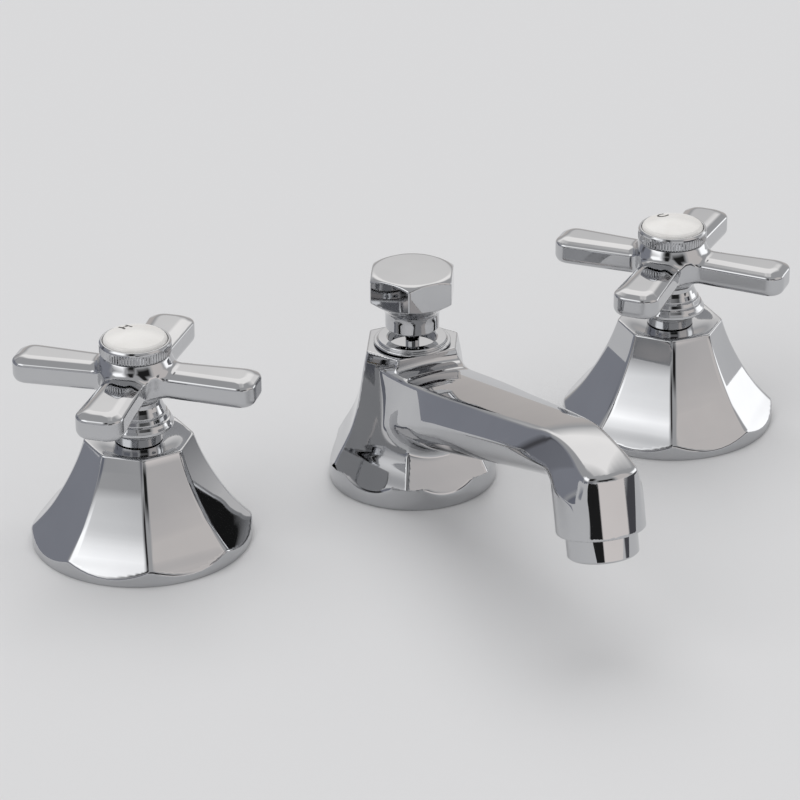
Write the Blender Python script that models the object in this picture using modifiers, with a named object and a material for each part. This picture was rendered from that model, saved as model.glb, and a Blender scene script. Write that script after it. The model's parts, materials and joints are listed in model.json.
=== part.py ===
"""A widespread bathroom faucet: two cross-handle valves and a low spout with a lift rod.

Three units stand on one deck plane, z = 0. The origin is the point of that plane on the
spout's axis. X runs along the line of the valves, hot at -X and cold at +X, and the spout
points along -Y. Below the deck are the shanks, their nuts and the water inlets. Lengths
are in metres.
"""

import math

import bmesh
import bpy
from mathutils import Matrix, Vector

# Shared by every piece
GAP = 0.0003                    # clearance between pieces that touch
OVERRUN = 0.002                 # how far a cutter runs past the face it opens
MERGE_DISTANCE = 0.00001
SMOOTH_ANGLE = math.radians(32.0)
FINE_STEPS = 28                 # large round pieces that show
SMALL_STEPS = 20                # small round pieces that show
PLAIN_STEPS = 12                # round pieces inside or under the deck
HEX_SIDES = 6

# How the three units stand
VALVE_SPACING = 0.2032          # hot axis to cold axis, 8 in
VALVE_TURN = math.radians(3.75)  # as set, the front of each valve unit towards the spout
DECK_THICKNESS = 0.020          # the worktop that the nuts are set for

# Escutcheon: an eight-sided flare cut by a round base
ESC_SIDES = 8
ESC_TOP_Z = 0.0373
ESC_TOP_RADIUS = 0.0185         # to a corner of the octagon
ESC_BASE_RADIUS = 0.03715
ESC_FOOT_Z = 0.0020             # where the flare turns straight down
ESC_FOOT_SHARE = 1.02           # flare's foot past the round base, on a flat
ESC_FLARE_SAG = 0.0030
ESC_WALL = 0.0025
ESC_ROOF = 0.0030
ESC_DISH_DEPTH = 0.0010
ESC_DISH_FLOOR_RADIUS = 0.0098
ESC_DISH_RIM = 0.0012           # land left between the dish and a flat of the octagon
ESC_ARC_STEPS = 8

# Bonnet: the ribbed nut that clamps the escutcheon on the cartridge
BONNET_RADIUS = 0.0080
BONNET_BAND_HEIGHT = 0.0030
BONNET_RIB_COUNT = 3
BONNET_RIB_PITCH = 0.00065
BONNET_RIB_RADIUS = 0.0088
BONNET_GROOVE_RADIUS = 0.0084

# Handle skirt: the flared sleeve between the bonnet and the hub
SKIRT_HEIGHT = 0.0101
SKIRT_NECK_RADIUS = 0.0080
SKIRT_RING_RADIUS = 0.0119
SKIRT_RING_HEIGHT = 0.0013
SKIRT_EDGE = 0.0004
SKIRT_FLARE_SAG = 0.0006
SKIRT_ARC_STEPS = 4

# Cross handle
HUB_HEIGHT = 0.0159
HUB_TOP_RADIUS = 0.0113
HUB_WALL_RADIUS = 0.0131
HUB_FOOT_RADIUS = 0.0084
HUB_BELL_DROP = 0.0039          # from the hub's top to the edge of its wall
HUB_BELL_SAG = 0.0007
HUB_WALL_HEIGHT = 0.0070
HUB_FOOT_SAG = 0.0008
HUB_ARC_STEPS = 4
ARM_REACH = 0.0422              # from the axis to the end face
ARM_WAIST_HALF_WIDTH = 0.0064
ARM_TIP_HALF_WIDTH = 0.0082
ARM_TIP_CORNER = 0.0034         # corner cut off the tip in plan
ARM_SIDE_HEIGHT = 0.0074
ARM_TOP_DROP = 0.0054           # from the hub's top to the top of an arm's side
ARM_ROOF_INSET = 0.0032
ARM_ROOF_RISE = 0.0017
ARM_FOOT_INSET = 0.0010
ARM_TURN = math.radians(45.0)   # closed position, from the line of the valves

# Cap ring, index button and handle screw
SPIGOT_RADIUS = 0.0094
SPIGOT_HEIGHT = 0.0024
RING_RADIUS = 0.0120
RING_HEIGHT = 0.0042
RING_LIP_DROP = 0.0008
RING_LIP_RADIUS = 0.0110
RING_CHAMFER = 0.0004
RING_LEDGE = 0.0006             # the step that carries the button
KNURL_TEETH = 36
KNURL_DEPTH = 0.0004
BUTTON_RADIUS = 0.0102
BUTTON_EDGE = 0.0013
BUTTON_CROWN = 0.0029
BUTTON_ARC_STEPS = 4
SCREW_RADIUS = 0.0020
SCREW_LENGTH = 0.0095
SCREW_HEAD_RADIUS = 0.0038
SCREW_HEAD_HEIGHT = 0.0024
SCREW_SLOT_WIDTH = 0.0009
SCREW_SLOT_DEPTH = 0.0010
SCREW_WELL_RADIUS = 0.0050
SCREW_WELL_DEPTH = 0.0027

# Stem and ceramic discs
STEM_RADIUS = 0.0038
STEM_TOP_DROP = 0.0045          # from the hub's top to the end of the stem
STEM_FLATS_HEIGHT = 0.0118
STEM_FLATS_HALF_WIDTH = 0.0032
STEM_FOOT_RADIUS = 0.0072
STEM_FOOT_HEIGHT = 0.0030
TANG_LENGTH = 0.0100
TANG_WIDTH = 0.0020
TANG_DEPTH = 0.0009
DISC_RADIUS = 0.0075
DISC_HEIGHT = 0.0028
DISC_CHANNEL_DEPTH = 0.0011
PORT_RADIUS = 0.0020
PORT_OFFSET = 0.0040
SEAL_HEIGHT = 0.0026

# Cartridge
CARTRIDGE_WALL = 0.0021
CARTRIDGE_NECK_RADIUS = 0.0062
CARTRIDGE_FLANGE_HEIGHT = 0.0026
CARTRIDGE_FLANGE_RADIUS = 0.0124

# Valve body and its fixings
VALVE_TOP_Z = 0.0260
SHANK_RADIUS = 0.0125
VALVE_BORE_DEPTH = 0.0270
VALVE_LENGTH_BELOW = 0.0560     # shank under the deck plane
VALVE_INLET_RADIUS = 0.0103     # 1/2 in pipe thread
VALVE_INLET_LENGTH = 0.0150
VALVE_INLET_BORE = 0.0064
OUTLET_RADIUS = 0.0071          # 3/8 in compression
OUTLET_REACH = 0.0270
OUTLET_RISE = 0.0090            # above the shank's lower end
OUTLET_BORE = 0.0040
OUTLET_WEB = 0.0030             # metal between the inlet and the outlet
DECK_NUT_RADIUS = 0.0185        # to a corner
DECK_NUT_HEIGHT = 0.0040
RUBBER_HEIGHT = 0.0020
WASHER_HEIGHT = 0.0015
WASHER_MARGIN = 0.0075          # washer's width past the shank
LOCKNUT_MARGIN = 0.0065
LOCKNUT_HEIGHT = 0.0080
GASKET_WIDTH = 0.0070
GASKET_HEIGHT = 0.0015

# Spout pedestal: a six-sided flare cut by a round base
SPOUT_TOP_Z = 0.0503
SPOUT_TOP_RADIUS = 0.01735      # to a corner of the hexagon
SPOUT_BASE_RADIUS = 0.0289
SPOUT_FOOT_SHARE = 1.05         # flare's foot past the round base, on a flat
# Flare from top to foot: share of its growth in radius, share of its height
SPOUT_FLARE_SHARES = (
    (0.00, 1.00), (0.08, 0.87), (0.13, 0.755), (0.175, 0.66), (0.225, 0.58), (0.29, 0.505),
    (0.38, 0.42), (0.50, 0.34), (0.64, 0.26), (0.91, 0.10), (1.00, 0.00),
)
SPOUT_RECESS_DEPTH = 0.0012     # under the base, for the gasket
SPOUT_RECESS_RADIUS = 0.0258
RELIEF_START = 0.0112           # front edge of the top plate, forward of the axis
RELIEF_LENGTH = 0.0160
RELIEF_CORNER = 0.0046
RELIEF_SINK = 0.0010            # relief's floor under the arm's top
RELIEF_STEPS = 4

# Spout arm: straight rise, crowned bend and round nose. Distances run forward of the axis
ARM_START = 0.0040
SPOUT_ARM_TOP_Z = 0.04205       # top line, carried back to the axis
SPOUT_ARM_RISE = math.radians(13.54)
SPOUT_UNDER_Z = 0.0125          # underside line, carried back to the axis
SPOUT_UNDER_RISE = math.radians(18.9)
CROWN_LENGTH = 0.0294           # crown's start, back from the rim's centre
CROWN_SAG = 0.0028
CROWN_ROUNDING = 1.5            # power that delays the change to a round section
ARM_TOP_HALF_BACK = 0.0125
ARM_TOP_HALF_FRONT = 0.0081
ARM_WIDE_HALF_BACK = 0.0172
ARM_WIDE_HALF_FRONT = 0.0144
ARM_WIDE_SHARE_BACK = 0.46      # height of the widest line in a section
ARM_WIDE_SHARE_FRONT = 0.63
UNDER_BEND_RADIUS = 0.0045
NOSE_REACH = 0.1334             # of the rim's centre
NOSE_RIM_Z = 0.0415
NOSE_TILT = math.radians(13.0)
NOSE_RADIUS = 0.01435
NOSE_CREASE = 0.0208            # along the nose, from the rim to the crown's edge in front
NOSE_BACK_CREASE = 0.0062
NOSE_EDGE = 0.0005
SECTION_POINTS = 24
CREASE_POINT = 3                # of the points from the top centre to the widest one
STRAIGHT_STEPS = 6
BEND_STEPS = 6
NOSE_STEPS = 2

# Waterway and sockets inside the spout
SPOUT_SHANK_RADIUS = 0.0103
SPOUT_SHANK_BORE = 0.0075
SPOUT_SHANK_INSERT = 0.0200     # length inside the pedestal
SPOUT_SHANK_BELOW = 0.0620
CHAMBER_RADIUS = 0.0078
CHAMBER_HEIGHT = 0.0090
WATERWAY_RADIUS = 0.0042
WATERWAY_SIDES = 8
WATERWAY_SHARES = (0.45, 0.92, 1.08)    # of the way to the crown, where the passage bends
SLEEVE_RADIUS = 0.0038
SLEEVE_BORE = 0.0028
SLEEVE_INSERT = 0.0060          # above the chamber
ROD_RADIUS = 0.0024
ROD_BELOW = 0.1450
TEE_RADIUS = 0.0140
TEE_HEIGHT = 0.0300
TEE_OVERLAP = 0.0120            # length screwed on the shank
TEE_PORT_RADIUS = 0.0071
TEE_PORT_REACH = 0.0290
TEE_PORT_BORE = 0.0040
TEE_PORT_DROP = 0.0080          # below the shank's end
TEE_FLOOR = 0.0050
SLEEVE_TAIL = 0.0030            # below the tee

# Aerator, measured along the nose
AERATOR_RADIUS = 0.0115
AERATOR_HEIGHT = 0.0082
AERATOR_EDGE = 0.0006
AERATOR_THREAD_RADIUS = 0.0102
AERATOR_THREAD_LENGTH = 0.0048
AERATOR_BORE = 0.0086
AERATOR_LIP = 0.0008
AERATOR_LIP_HEIGHT = 0.0012
SCREEN_HEIGHT = 0.0060
SCREEN_SLOTS = 3
SCREEN_SLOT_PITCH = 0.0040
SCREEN_SLOT_WIDTH = 0.0016
SCREEN_SLOT_DEPTH = 0.0012
NOSE_WASHER_HEIGHT = 0.0016
NOSE_WASHER_BORE = 0.0072
NOSE_BORE = 0.0070
NOSE_BORE_DEPTH = 0.0190

# Lift rod guide and knob
GUIDE_RADIUS = 0.0132
GUIDE_STEP_RADIUS = 0.0120
GUIDE_FLANGE_HEIGHT = 0.0008
GUIDE_HEIGHT = 0.0018
GUIDE_WELL_RADIUS = 0.0082
GUIDE_WELL_DEPTH = 0.0050
GUIDE_SPIGOT_RADIUS = 0.0095
GUIDE_SPIGOT_LENGTH = 0.0080
KNOB_LIFT = 0.0038              # knob's neck above the guide at rest
KNOB_NECK_RADIUS = 0.0092
KNOB_NECK_HEIGHT = 0.0090
KNOB_FLARE_HEIGHT = 0.0013
KNOB_FLARE_RADIUS = 0.0122
KNOB_UNDER_RISE = 0.0012        # underside cone, out to a corner
KNOB_HEIGHT = 0.0210
KNOB_HEX_RADIUS = 0.0159        # to a corner
KNOB_DISC_RADIUS = 0.0136
KNOB_TOP_DROP = 0.0014          # top cone, out to a corner
KNOB_EDGE = 0.0003
ROD_INSERT = 0.0060             # rod's length inside the knob

# Material: base colour, metallic, roughness
FINISHES = {
    "polished_chrome": ((0.80, 0.80, 0.81), 1.0, 0.04),
    "porcelain": ((0.86, 0.84, 0.80), 0.0, 0.12),
    "raw_brass": ((0.72, 0.55, 0.27), 1.0, 0.34),
    "ceramic": ((0.90, 0.90, 0.88), 0.0, 0.20),
    "black_rubber": ((0.03, 0.03, 0.03), 0.0, 0.75),
    "steel": ((0.60, 0.60, 0.61), 1.0, 0.28),
    "white_plastic": ((0.82, 0.82, 0.80), 0.0, 0.35),
}


def clear_scene():
    for obj in list(bpy.data.objects):
        bpy.data.objects.remove(obj, do_unlink=True)


def make_collection(name):
    collection = bpy.data.collections.new(name)
    bpy.context.scene.collection.children.link(collection)
    return collection


def make_material(name, finish):
    colour, metallic, roughness = FINISHES[finish]
    material = bpy.data.materials.new(name)
    material.use_nodes = True
    shader = material.node_tree.nodes["Principled BSDF"]
    shader.inputs["Base Color"].default_value = (*colour, 1.0)
    shader.inputs["Metallic"].default_value = metallic
    shader.inputs["Roughness"].default_value = roughness
    material.diffuse_color = (*colour, 1.0)
    return material


clear_scene()
PARTS = make_collection("bathroom_faucet")
CUTTERS = make_collection("cutters")


def add_object(name, mesh, finish, location=(0.0, 0.0, 0.0), tilt=0.0, turn=0.0):
    """Link a mesh as a part, or as a hidden cutter where finish is None."""
    obj = bpy.data.objects.new(name, mesh)
    obj.location = location
    obj.rotation_euler = (tilt, 0.0, turn)
    if finish is None:
        CUTTERS.objects.link(obj)
        obj.hide_render = True
        obj.display_type = "WIRE"
    else:
        PARTS.objects.link(obj)
        mesh.materials.append(make_material(name, finish))
    return obj


def arc(start, end, sag, steps):
    """Points after start, up to end, on the circle that passes sag to the right of the chord."""
    start, end = Vector(start), Vector(end)
    chord = end - start
    right = Vector((chord.y, -chord.x)).normalized()
    radius = (chord.length_squared / 4 + sag * sag) / (2 * sag)
    centre = (start + end) / 2 + right * (sag - radius)
    spoke = start - centre
    sweep = 2 * math.asin(chord.length / (2 * radius))
    points = []
    for i in range(1, steps + 1):
        points.append(tuple(centre + Matrix.Rotation(sweep * i / steps, 2) @ spoke))
    return points


def turned(name, profile, finish=None, steps=PLAIN_STEPS, closed=False, **place):
    """Turn a profile of (radius, z) about Z. It runs down the outside, top to bottom."""
    mesh = bpy.data.meshes.new(name)
    count = len(profile)
    edges = [(i, i + 1) for i in range(count - 1)]
    if closed:
        edges.append((count - 1, 0))
    mesh.from_pydata([(r, 0.0, z) for r, z in profile], edges, [])
    obj = add_object(name, mesh, finish, **place)
    screw = obj.modifiers.new("Turn", "SCREW")
    screw.steps = screw.render_steps = steps
    screw.use_merge_vertices = True
    screw.merge_threshold = MERGE_DISTANCE
    screw.use_smooth_shade = steps > ESC_SIDES
    return obj


def rod_profile(radius, top, bottom):
    return [(0.0, top), (radius, top), (radius, bottom), (0.0, bottom)]


def tube_profile(radius, bore, top, bottom):
    return [(radius, top), (radius, bottom), (bore, bottom), (bore, top)]


def combine(obj, other, operation):
    boolean = obj.modifiers.new(operation.title(), "BOOLEAN")
    boolean.operation = operation
    boolean.solver = "EXACT"
    boolean.object = other


def cut(obj, other):
    combine(obj, other, "DIFFERENCE")


def join(obj, other):
    combine(obj, other, "UNION")


def keep_within(obj, other):
    combine(obj, other, "INTERSECT")


def cross_rod(name, radius, reach, height, x=0.0, finish=None, steps=PLAIN_STEPS):
    """A rod along X from x out to x + reach, at a height."""
    mesh = bpy.data.meshes.new(name)
    body = bmesh.new()
    bmesh.ops.create_cone(
        body, cap_ends=True, segments=steps, radius1=radius, radius2=radius, depth=abs(reach),
        matrix=Matrix.Translation((x + reach / 2, 0.0, height)) @ Matrix.Rotation(math.pi / 2, 4, "Y"),
    )
    body.to_mesh(mesh)
    body.free()
    return add_object(name, mesh, finish)


def box(name, size, centre, turn=0.0):
    mesh = bpy.data.meshes.new(name)
    body = bmesh.new()
    bmesh.ops.create_cube(body, size=1.0, matrix=Matrix.Diagonal((*size, 1.0)))
    body.to_mesh(mesh)
    body.free()
    return add_object(name, mesh, None, location=centre, turn=turn)


def prism(name, outline, half_width):
    """A cutter that runs across the spout, from an outline of (forward distance, height)."""
    rings = []
    for x in (-half_width, half_width):
        rings.append([(x, -forward, z) for forward, z in outline])
    return loft(name, rings)


def loft(name, rings, finish=None, **place):
    """Skin a list of rings that have the same number of points, and cap both ends."""
    mesh = bpy.data.meshes.new(name)
    body = bmesh.new()
    rows = [[body.verts.new(point) for point in ring] for ring in rings]
    for row, following in zip(rows, rows[1:]):
        for i in range(len(row)):
            body.faces.new((row[i - 1], row[i], following[i], following[i - 1]))
    body.faces.new(rows[0])
    body.faces.new(rows[-1])
    bmesh.ops.recalc_face_normals(body, faces=body.faces)
    body.to_mesh(mesh)
    body.free()
    return add_object(name, mesh, finish, **place)


# Heights shared by the pieces of a valve
DISH_FLOOR_Z = ESC_TOP_Z - ESC_DISH_DEPTH
BONNET_Z = DISH_FLOOR_Z + GAP
BONNET_TOP_Z = BONNET_Z + BONNET_BAND_HEIGHT + BONNET_RIB_COUNT * BONNET_RIB_PITCH
SKIRT_Z = BONNET_TOP_Z + GAP
HUB_Z = SKIRT_Z + SKIRT_HEIGHT + GAP
HUB_TOP_Z = HUB_Z + HUB_HEIGHT
SPIGOT_TOP_Z = HUB_TOP_Z + SPIGOT_HEIGHT
RING_Z = HUB_TOP_Z + GAP
LEDGE_Z = SPIGOT_TOP_Z + RING_LEDGE
BUTTON_Z = LEDGE_Z + GAP
STEM_TOP_Z = HUB_TOP_Z - STEM_TOP_DROP
WELL_Z = HUB_TOP_Z - SCREW_WELL_DEPTH
BORE_FLOOR_Z = VALVE_TOP_Z - VALVE_BORE_DEPTH
SEAL_Z = BORE_FLOOR_Z + GAP
FIXED_DISC_Z = SEAL_Z + SEAL_HEIGHT + GAP
TURNING_DISC_Z = FIXED_DISC_Z + DISC_HEIGHT + GAP
STEM_Z = TURNING_DISC_Z + DISC_HEIGHT + GAP
CARTRIDGE_BORE = DISC_RADIUS + GAP
CARTRIDGE_RADIUS = CARTRIDGE_BORE + CARTRIDGE_WALL
VALVE_END_Z = -VALVE_LENGTH_BELOW
INLET_END_Z = VALVE_END_Z - VALVE_INLET_LENGTH
OUTLET_Z = VALVE_END_Z + OUTLET_RISE


def make_escutcheon(name, x, turn):
    flat_share = math.cos(math.pi / ESC_SIDES)
    foot_radius = ESC_BASE_RADIUS * ESC_FOOT_SHARE / flat_share
    top = (ESC_TOP_RADIUS, ESC_TOP_Z)
    flare = arc(top, (foot_radius, ESC_FOOT_Z), ESC_FLARE_SAG, ESC_ARC_STEPS)
    shell = turned(
        name, [(0.0, ESC_TOP_Z), top, *flare, (foot_radius, 0.0), (0.0, 0.0)],
        "polished_chrome", steps=ESC_SIDES, location=(x, 0.0, 0.0), turn=turn + math.pi / ESC_SIDES,
    )
    place = {"location": (x, 0.0, 0.0)}
    high, low = ESC_TOP_Z + OVERRUN, -OVERRUN
    keep_within(shell, turned(
        name + "_base", rod_profile(ESC_BASE_RADIUS, high, 0.0), steps=FINE_STEPS, **place,
    ))

    roof_z = ESC_TOP_Z - ESC_ROOF
    widest = ESC_BASE_RADIUS - ESC_WALL
    hollow = [(0.0, roof_z), (ESC_TOP_RADIUS * flat_share - ESC_WALL, roof_z)]
    for radius, z in flare:
        hollow.append((min(radius * flat_share - ESC_WALL, widest), z))
    hollow += [(widest, low), (0.0, low)]
    cut(shell, turned(name + "_hollow", hollow, **place))

    dish_radius = ESC_TOP_RADIUS * flat_share - ESC_DISH_RIM
    dish = [
        (0.0, high), (dish_radius, high), (dish_radius, ESC_TOP_Z),
        (ESC_DISH_FLOOR_RADIUS, DISH_FLOOR_Z), (0.0, DISH_FLOOR_Z),
    ]
    cut(shell, turned(name + "_dish", dish, steps=FINE_STEPS, **place))
    neck_hole = rod_profile(CARTRIDGE_NECK_RADIUS + GAP, high, roof_z - OVERRUN)
    cut(shell, turned(name + "_neck_hole", neck_hole, **place))


def make_bonnet(name, x):
    bore = CARTRIDGE_NECK_RADIUS + GAP
    profile = []
    for rib in range(BONNET_RIB_COUNT):
        z = BONNET_TOP_Z - rib * BONNET_RIB_PITCH
        profile += [(BONNET_GROOVE_RADIUS, z), (BONNET_RIB_RADIUS, z - BONNET_RIB_PITCH / 2)]
    band_top = BONNET_Z + BONNET_BAND_HEIGHT
    profile += [(BONNET_RADIUS, band_top), (BONNET_RADIUS, BONNET_Z)]
    profile += [(bore, BONNET_Z), (bore, BONNET_TOP_Z)]
    turned(name, profile, "polished_chrome", steps=SMALL_STEPS, closed=True, location=(x, 0.0, 0.0))


def make_skirt(name, x):
    bore = STEM_RADIUS + GAP
    top_z = SKIRT_Z + SKIRT_HEIGHT
    start = (SKIRT_NECK_RADIUS, top_z)
    ring_top = (SKIRT_RING_RADIUS, SKIRT_Z + SKIRT_RING_HEIGHT)
    profile = [start, *arc(start, ring_top, SKIRT_FLARE_SAG, SKIRT_ARC_STEPS)]
    profile += [(SKIRT_RING_RADIUS, SKIRT_Z + SKIRT_EDGE), (SKIRT_RING_RADIUS - SKIRT_EDGE, SKIRT_Z)]
    profile += [(bore, SKIRT_Z), (bore, top_z)]
    turned(name, profile, "polished_chrome", steps=SMALL_STEPS, closed=True, location=(x, 0.0, 0.0))


def bar_outline(inset, z):
    """Plan of a handle bar, narrowest at the hub, drawn in by inset all round."""
    reach = ARM_REACH - inset
    tip = ARM_TIP_HALF_WIDTH - inset
    waist = ARM_WAIST_HALF_WIDTH - inset
    corner = max(ARM_TIP_CORNER - inset / 2, ARM_ROOF_RISE)
    quarter = [(reach, tip - corner), (reach - corner, tip), (0.0, waist)]
    upper = quarter + [(-a, b) for a, b in quarter[1::-1]]
    outline = upper + [(a, -b) for a, b in upper[::-1]]
    return [(a, b, z) for a, b in outline]


def make_handle(name, x, turn):
    place = {"location": (x, 0.0, 0.0)}
    bell_start = (HUB_TOP_RADIUS, HUB_TOP_Z)
    bell_end = (HUB_WALL_RADIUS, HUB_TOP_Z - HUB_BELL_DROP)
    wall_end = (HUB_WALL_RADIUS, HUB_TOP_Z - HUB_BELL_DROP - HUB_WALL_HEIGHT)
    profile = [(0.0, SPIGOT_TOP_Z), (SPIGOT_RADIUS, SPIGOT_TOP_Z), (SPIGOT_RADIUS, HUB_TOP_Z), bell_start]
    profile += arc(bell_start, bell_end, HUB_BELL_SAG, HUB_ARC_STEPS)
    profile.append(wall_end)
    profile += arc(wall_end, (HUB_FOOT_RADIUS, HUB_Z), -HUB_FOOT_SAG, HUB_ARC_STEPS)
    profile.append((0.0, HUB_Z))
    hub = turned(name, profile, "polished_chrome", steps=FINE_STEPS, **place)

    side_top = HUB_TOP_Z - ARM_TOP_DROP
    side_foot = side_top - ARM_SIDE_HEIGHT
    rings = (
        bar_outline(ARM_FOOT_INSET, side_foot), bar_outline(0.0, side_foot + ARM_FOOT_INSET),
        bar_outline(0.0, side_top), bar_outline(ARM_ROOF_INSET, side_top + ARM_ROOF_RISE),
    )
    for number, angle in enumerate((ARM_TURN, -ARM_TURN)):
        join(hub, loft(f"{name}_bar_{number}", rings, turn=turn + angle, **place))

    high = SPIGOT_TOP_Z + OVERRUN
    cut(hub, turned(name + "_well", rod_profile(SCREW_WELL_RADIUS, high, WELL_Z), **place))
    cut(hub, turned(name + "_screw_hole", rod_profile(SCREW_RADIUS + GAP, high, STEM_TOP_Z), **place))
    broach = turned(
        name + "_broach", rod_profile(STEM_RADIUS + GAP, STEM_TOP_Z + GAP, HUB_Z - OVERRUN), **place,
    )
    width = 2 * (STEM_FLATS_HALF_WIDTH + GAP)
    keep_within(broach, box(
        name + "_broach_flats", (HUB_HEIGHT, width, 2 * HUB_HEIGHT), (x, 0.0, HUB_Z),
    ))
    cut(hub, broach)


def make_ring(name, x):
    place = {"location": (x, 0.0, 0.0)}
    top_z = RING_Z + RING_HEIGHT
    knurl_top = top_z - RING_LIP_DROP
    points = 2 * KNURL_TEETH

    def ring(radius, z, depth=0.0):
        outline = []
        for i in range(points):
            angle = 2 * math.pi * i / points
            reach = radius - depth * (i % 2)
            outline.append((reach * math.cos(angle), reach * math.sin(angle), z))
        return outline

    body = loft(name, (
        ring(RING_RADIUS - RING_CHAMFER, RING_Z), ring(RING_RADIUS, RING_Z + RING_CHAMFER, KNURL_DEPTH),
        ring(RING_RADIUS, knurl_top - RING_CHAMFER, KNURL_DEPTH), ring(RING_RADIUS - RING_CHAMFER, knurl_top),
        ring(RING_LIP_RADIUS, top_z),
    ), "polished_chrome", **place)
    seat = BUTTON_RADIUS + GAP
    thread = SPIGOT_RADIUS + GAP
    high, low = top_z + OVERRUN, RING_Z - OVERRUN
    opening = [(0.0, high), (seat, high), (seat, LEDGE_Z), (thread, LEDGE_Z), (thread, low), (0.0, low)]
    cut(body, turned(name + "_opening", opening, steps=FINE_STEPS, **place))


def make_button(name, x):
    edge_z = BUTTON_Z + BUTTON_EDGE
    crown_z = edge_z + BUTTON_CROWN
    half_chord = math.hypot(BUTTON_RADIUS, BUTTON_CROWN) / 2
    radius = 2 * half_chord ** 2 / BUTTON_CROWN
    sag = radius - math.sqrt(radius ** 2 - half_chord ** 2)
    crown = arc((0.0, crown_z), (BUTTON_RADIUS, edge_z), -sag, BUTTON_ARC_STEPS)
    profile = [(0.0, crown_z), *crown, (BUTTON_RADIUS, BUTTON_Z), (0.0, BUTTON_Z)]
    turned(name, profile, "porcelain", steps=FINE_STEPS, location=(x, 0.0, 0.0))


def make_handle_screw(name, x):
    head_z = WELL_Z + GAP
    head_top = head_z + SCREW_HEAD_HEIGHT
    end_z = head_z - SCREW_LENGTH
    profile = [
        (0.0, head_top), (SCREW_HEAD_RADIUS, head_top), (SCREW_HEAD_RADIUS, head_z),
        (SCREW_RADIUS, head_z), (SCREW_RADIUS, end_z), (0.0, end_z),
    ]
    screw = turned(name, profile, "steel", location=(x, 0.0, 0.0))
    slot_size = (3 * SCREW_HEAD_RADIUS, SCREW_SLOT_WIDTH, 2 * SCREW_SLOT_DEPTH)
    cut(screw, box(name + "_slot", slot_size, (x, 0.0, head_top)))


def make_stem(name, x):
    place = {"location": (x, 0.0, 0.0)}
    foot_top = STEM_Z + STEM_FOOT_HEIGHT
    profile = [
        (0.0, STEM_TOP_Z), (STEM_RADIUS, STEM_TOP_Z), (STEM_RADIUS, foot_top),
        (STEM_FOOT_RADIUS, foot_top), (STEM_FOOT_RADIUS, STEM_Z), (0.0, STEM_Z),
    ]
    stem = turned(name, profile, "raw_brass", **place)
    flats_size = (3 * STEM_RADIUS, STEM_RADIUS, 2 * STEM_FLATS_HEIGHT)
    for side in (-1, 1):
        y = side * (STEM_FLATS_HALF_WIDTH + STEM_RADIUS / 2)
        cut(stem, box(f"{name}_flat_{side}", flats_size, (x, y, STEM_TOP_Z)))
    hole_end = WELL_Z - SCREW_LENGTH
    hole = rod_profile(SCREW_RADIUS + GAP, STEM_TOP_Z + OVERRUN, hole_end)
    cut(stem, turned(name + "_hole", hole, **place))
    join(stem, box(name + "_tang", (TANG_LENGTH, TANG_WIDTH, 2 * TANG_DEPTH), (x, 0.0, STEM_Z)))


def make_turning_disc(name, x):
    """Blind channel under the disc. It joins the two ports when the handle is a quarter turn open."""
    place = {"location": (x, 0.0, 0.0)}
    top_z = TURNING_DISC_Z + DISC_HEIGHT
    disc = turned(name, rod_profile(DISC_RADIUS, top_z, TURNING_DISC_Z), "ceramic", **place)
    channel_length = 2 * (PORT_OFFSET + PORT_RADIUS)
    channel_size = (2 * PORT_RADIUS, channel_length, 2 * DISC_CHANNEL_DEPTH)
    cut(disc, box(name + "_channel", channel_size, (x, 0.0, TURNING_DISC_Z)))
    slot_size = (TANG_LENGTH + 2 * GAP, TANG_WIDTH + 2 * GAP, 2 * TANG_DEPTH)
    cut(disc, box(name + "_slot", slot_size, (x, 0.0, top_z)))


def cut_ports(obj, name, x, radius, high, low):
    for side in (-1, 1):
        port = rod_profile(radius, high, low)
        place = (x + side * PORT_OFFSET, 0.0, 0.0)
        cut(obj, turned(f"{name}_port_{side}", port, steps=WATERWAY_SIDES, location=place))


def make_fixed_disc(name, x):
    top_z = FIXED_DISC_Z + DISC_HEIGHT
    disc = turned(name, rod_profile(DISC_RADIUS, top_z, FIXED_DISC_Z), "ceramic", location=(x, 0.0, 0.0))
    cut_ports(disc, name, x, PORT_RADIUS, top_z + OVERRUN, FIXED_DISC_Z - OVERRUN)


def make_seat_seal(name, x):
    top_z = SEAL_Z + SEAL_HEIGHT
    seal = turned(name, rod_profile(DISC_RADIUS, top_z, SEAL_Z), "black_rubber", location=(x, 0.0, 0.0))
    cut_ports(seal, name, x, PORT_RADIUS, top_z + OVERRUN, SEAL_Z - OVERRUN)


def make_cartridge(name, x):
    flange_z = VALVE_TOP_Z + GAP
    flange_top = flange_z + CARTRIDGE_FLANGE_HEIGHT
    roof_z = STEM_Z + STEM_FOOT_HEIGHT + GAP
    stem_bore = STEM_RADIUS + GAP
    profile = [
        (CARTRIDGE_NECK_RADIUS, BONNET_TOP_Z), (CARTRIDGE_NECK_RADIUS, flange_top),
        (CARTRIDGE_FLANGE_RADIUS, flange_top), (CARTRIDGE_FLANGE_RADIUS, flange_z),
        (CARTRIDGE_RADIUS, flange_z), (CARTRIDGE_RADIUS, SEAL_Z),
        (CARTRIDGE_BORE, SEAL_Z), (CARTRIDGE_BORE, roof_z),
        (stem_bore, roof_z), (stem_bore, BONNET_TOP_Z),
    ]
    turned(name, profile, "raw_brass", closed=True, location=(x, 0.0, 0.0))


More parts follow.
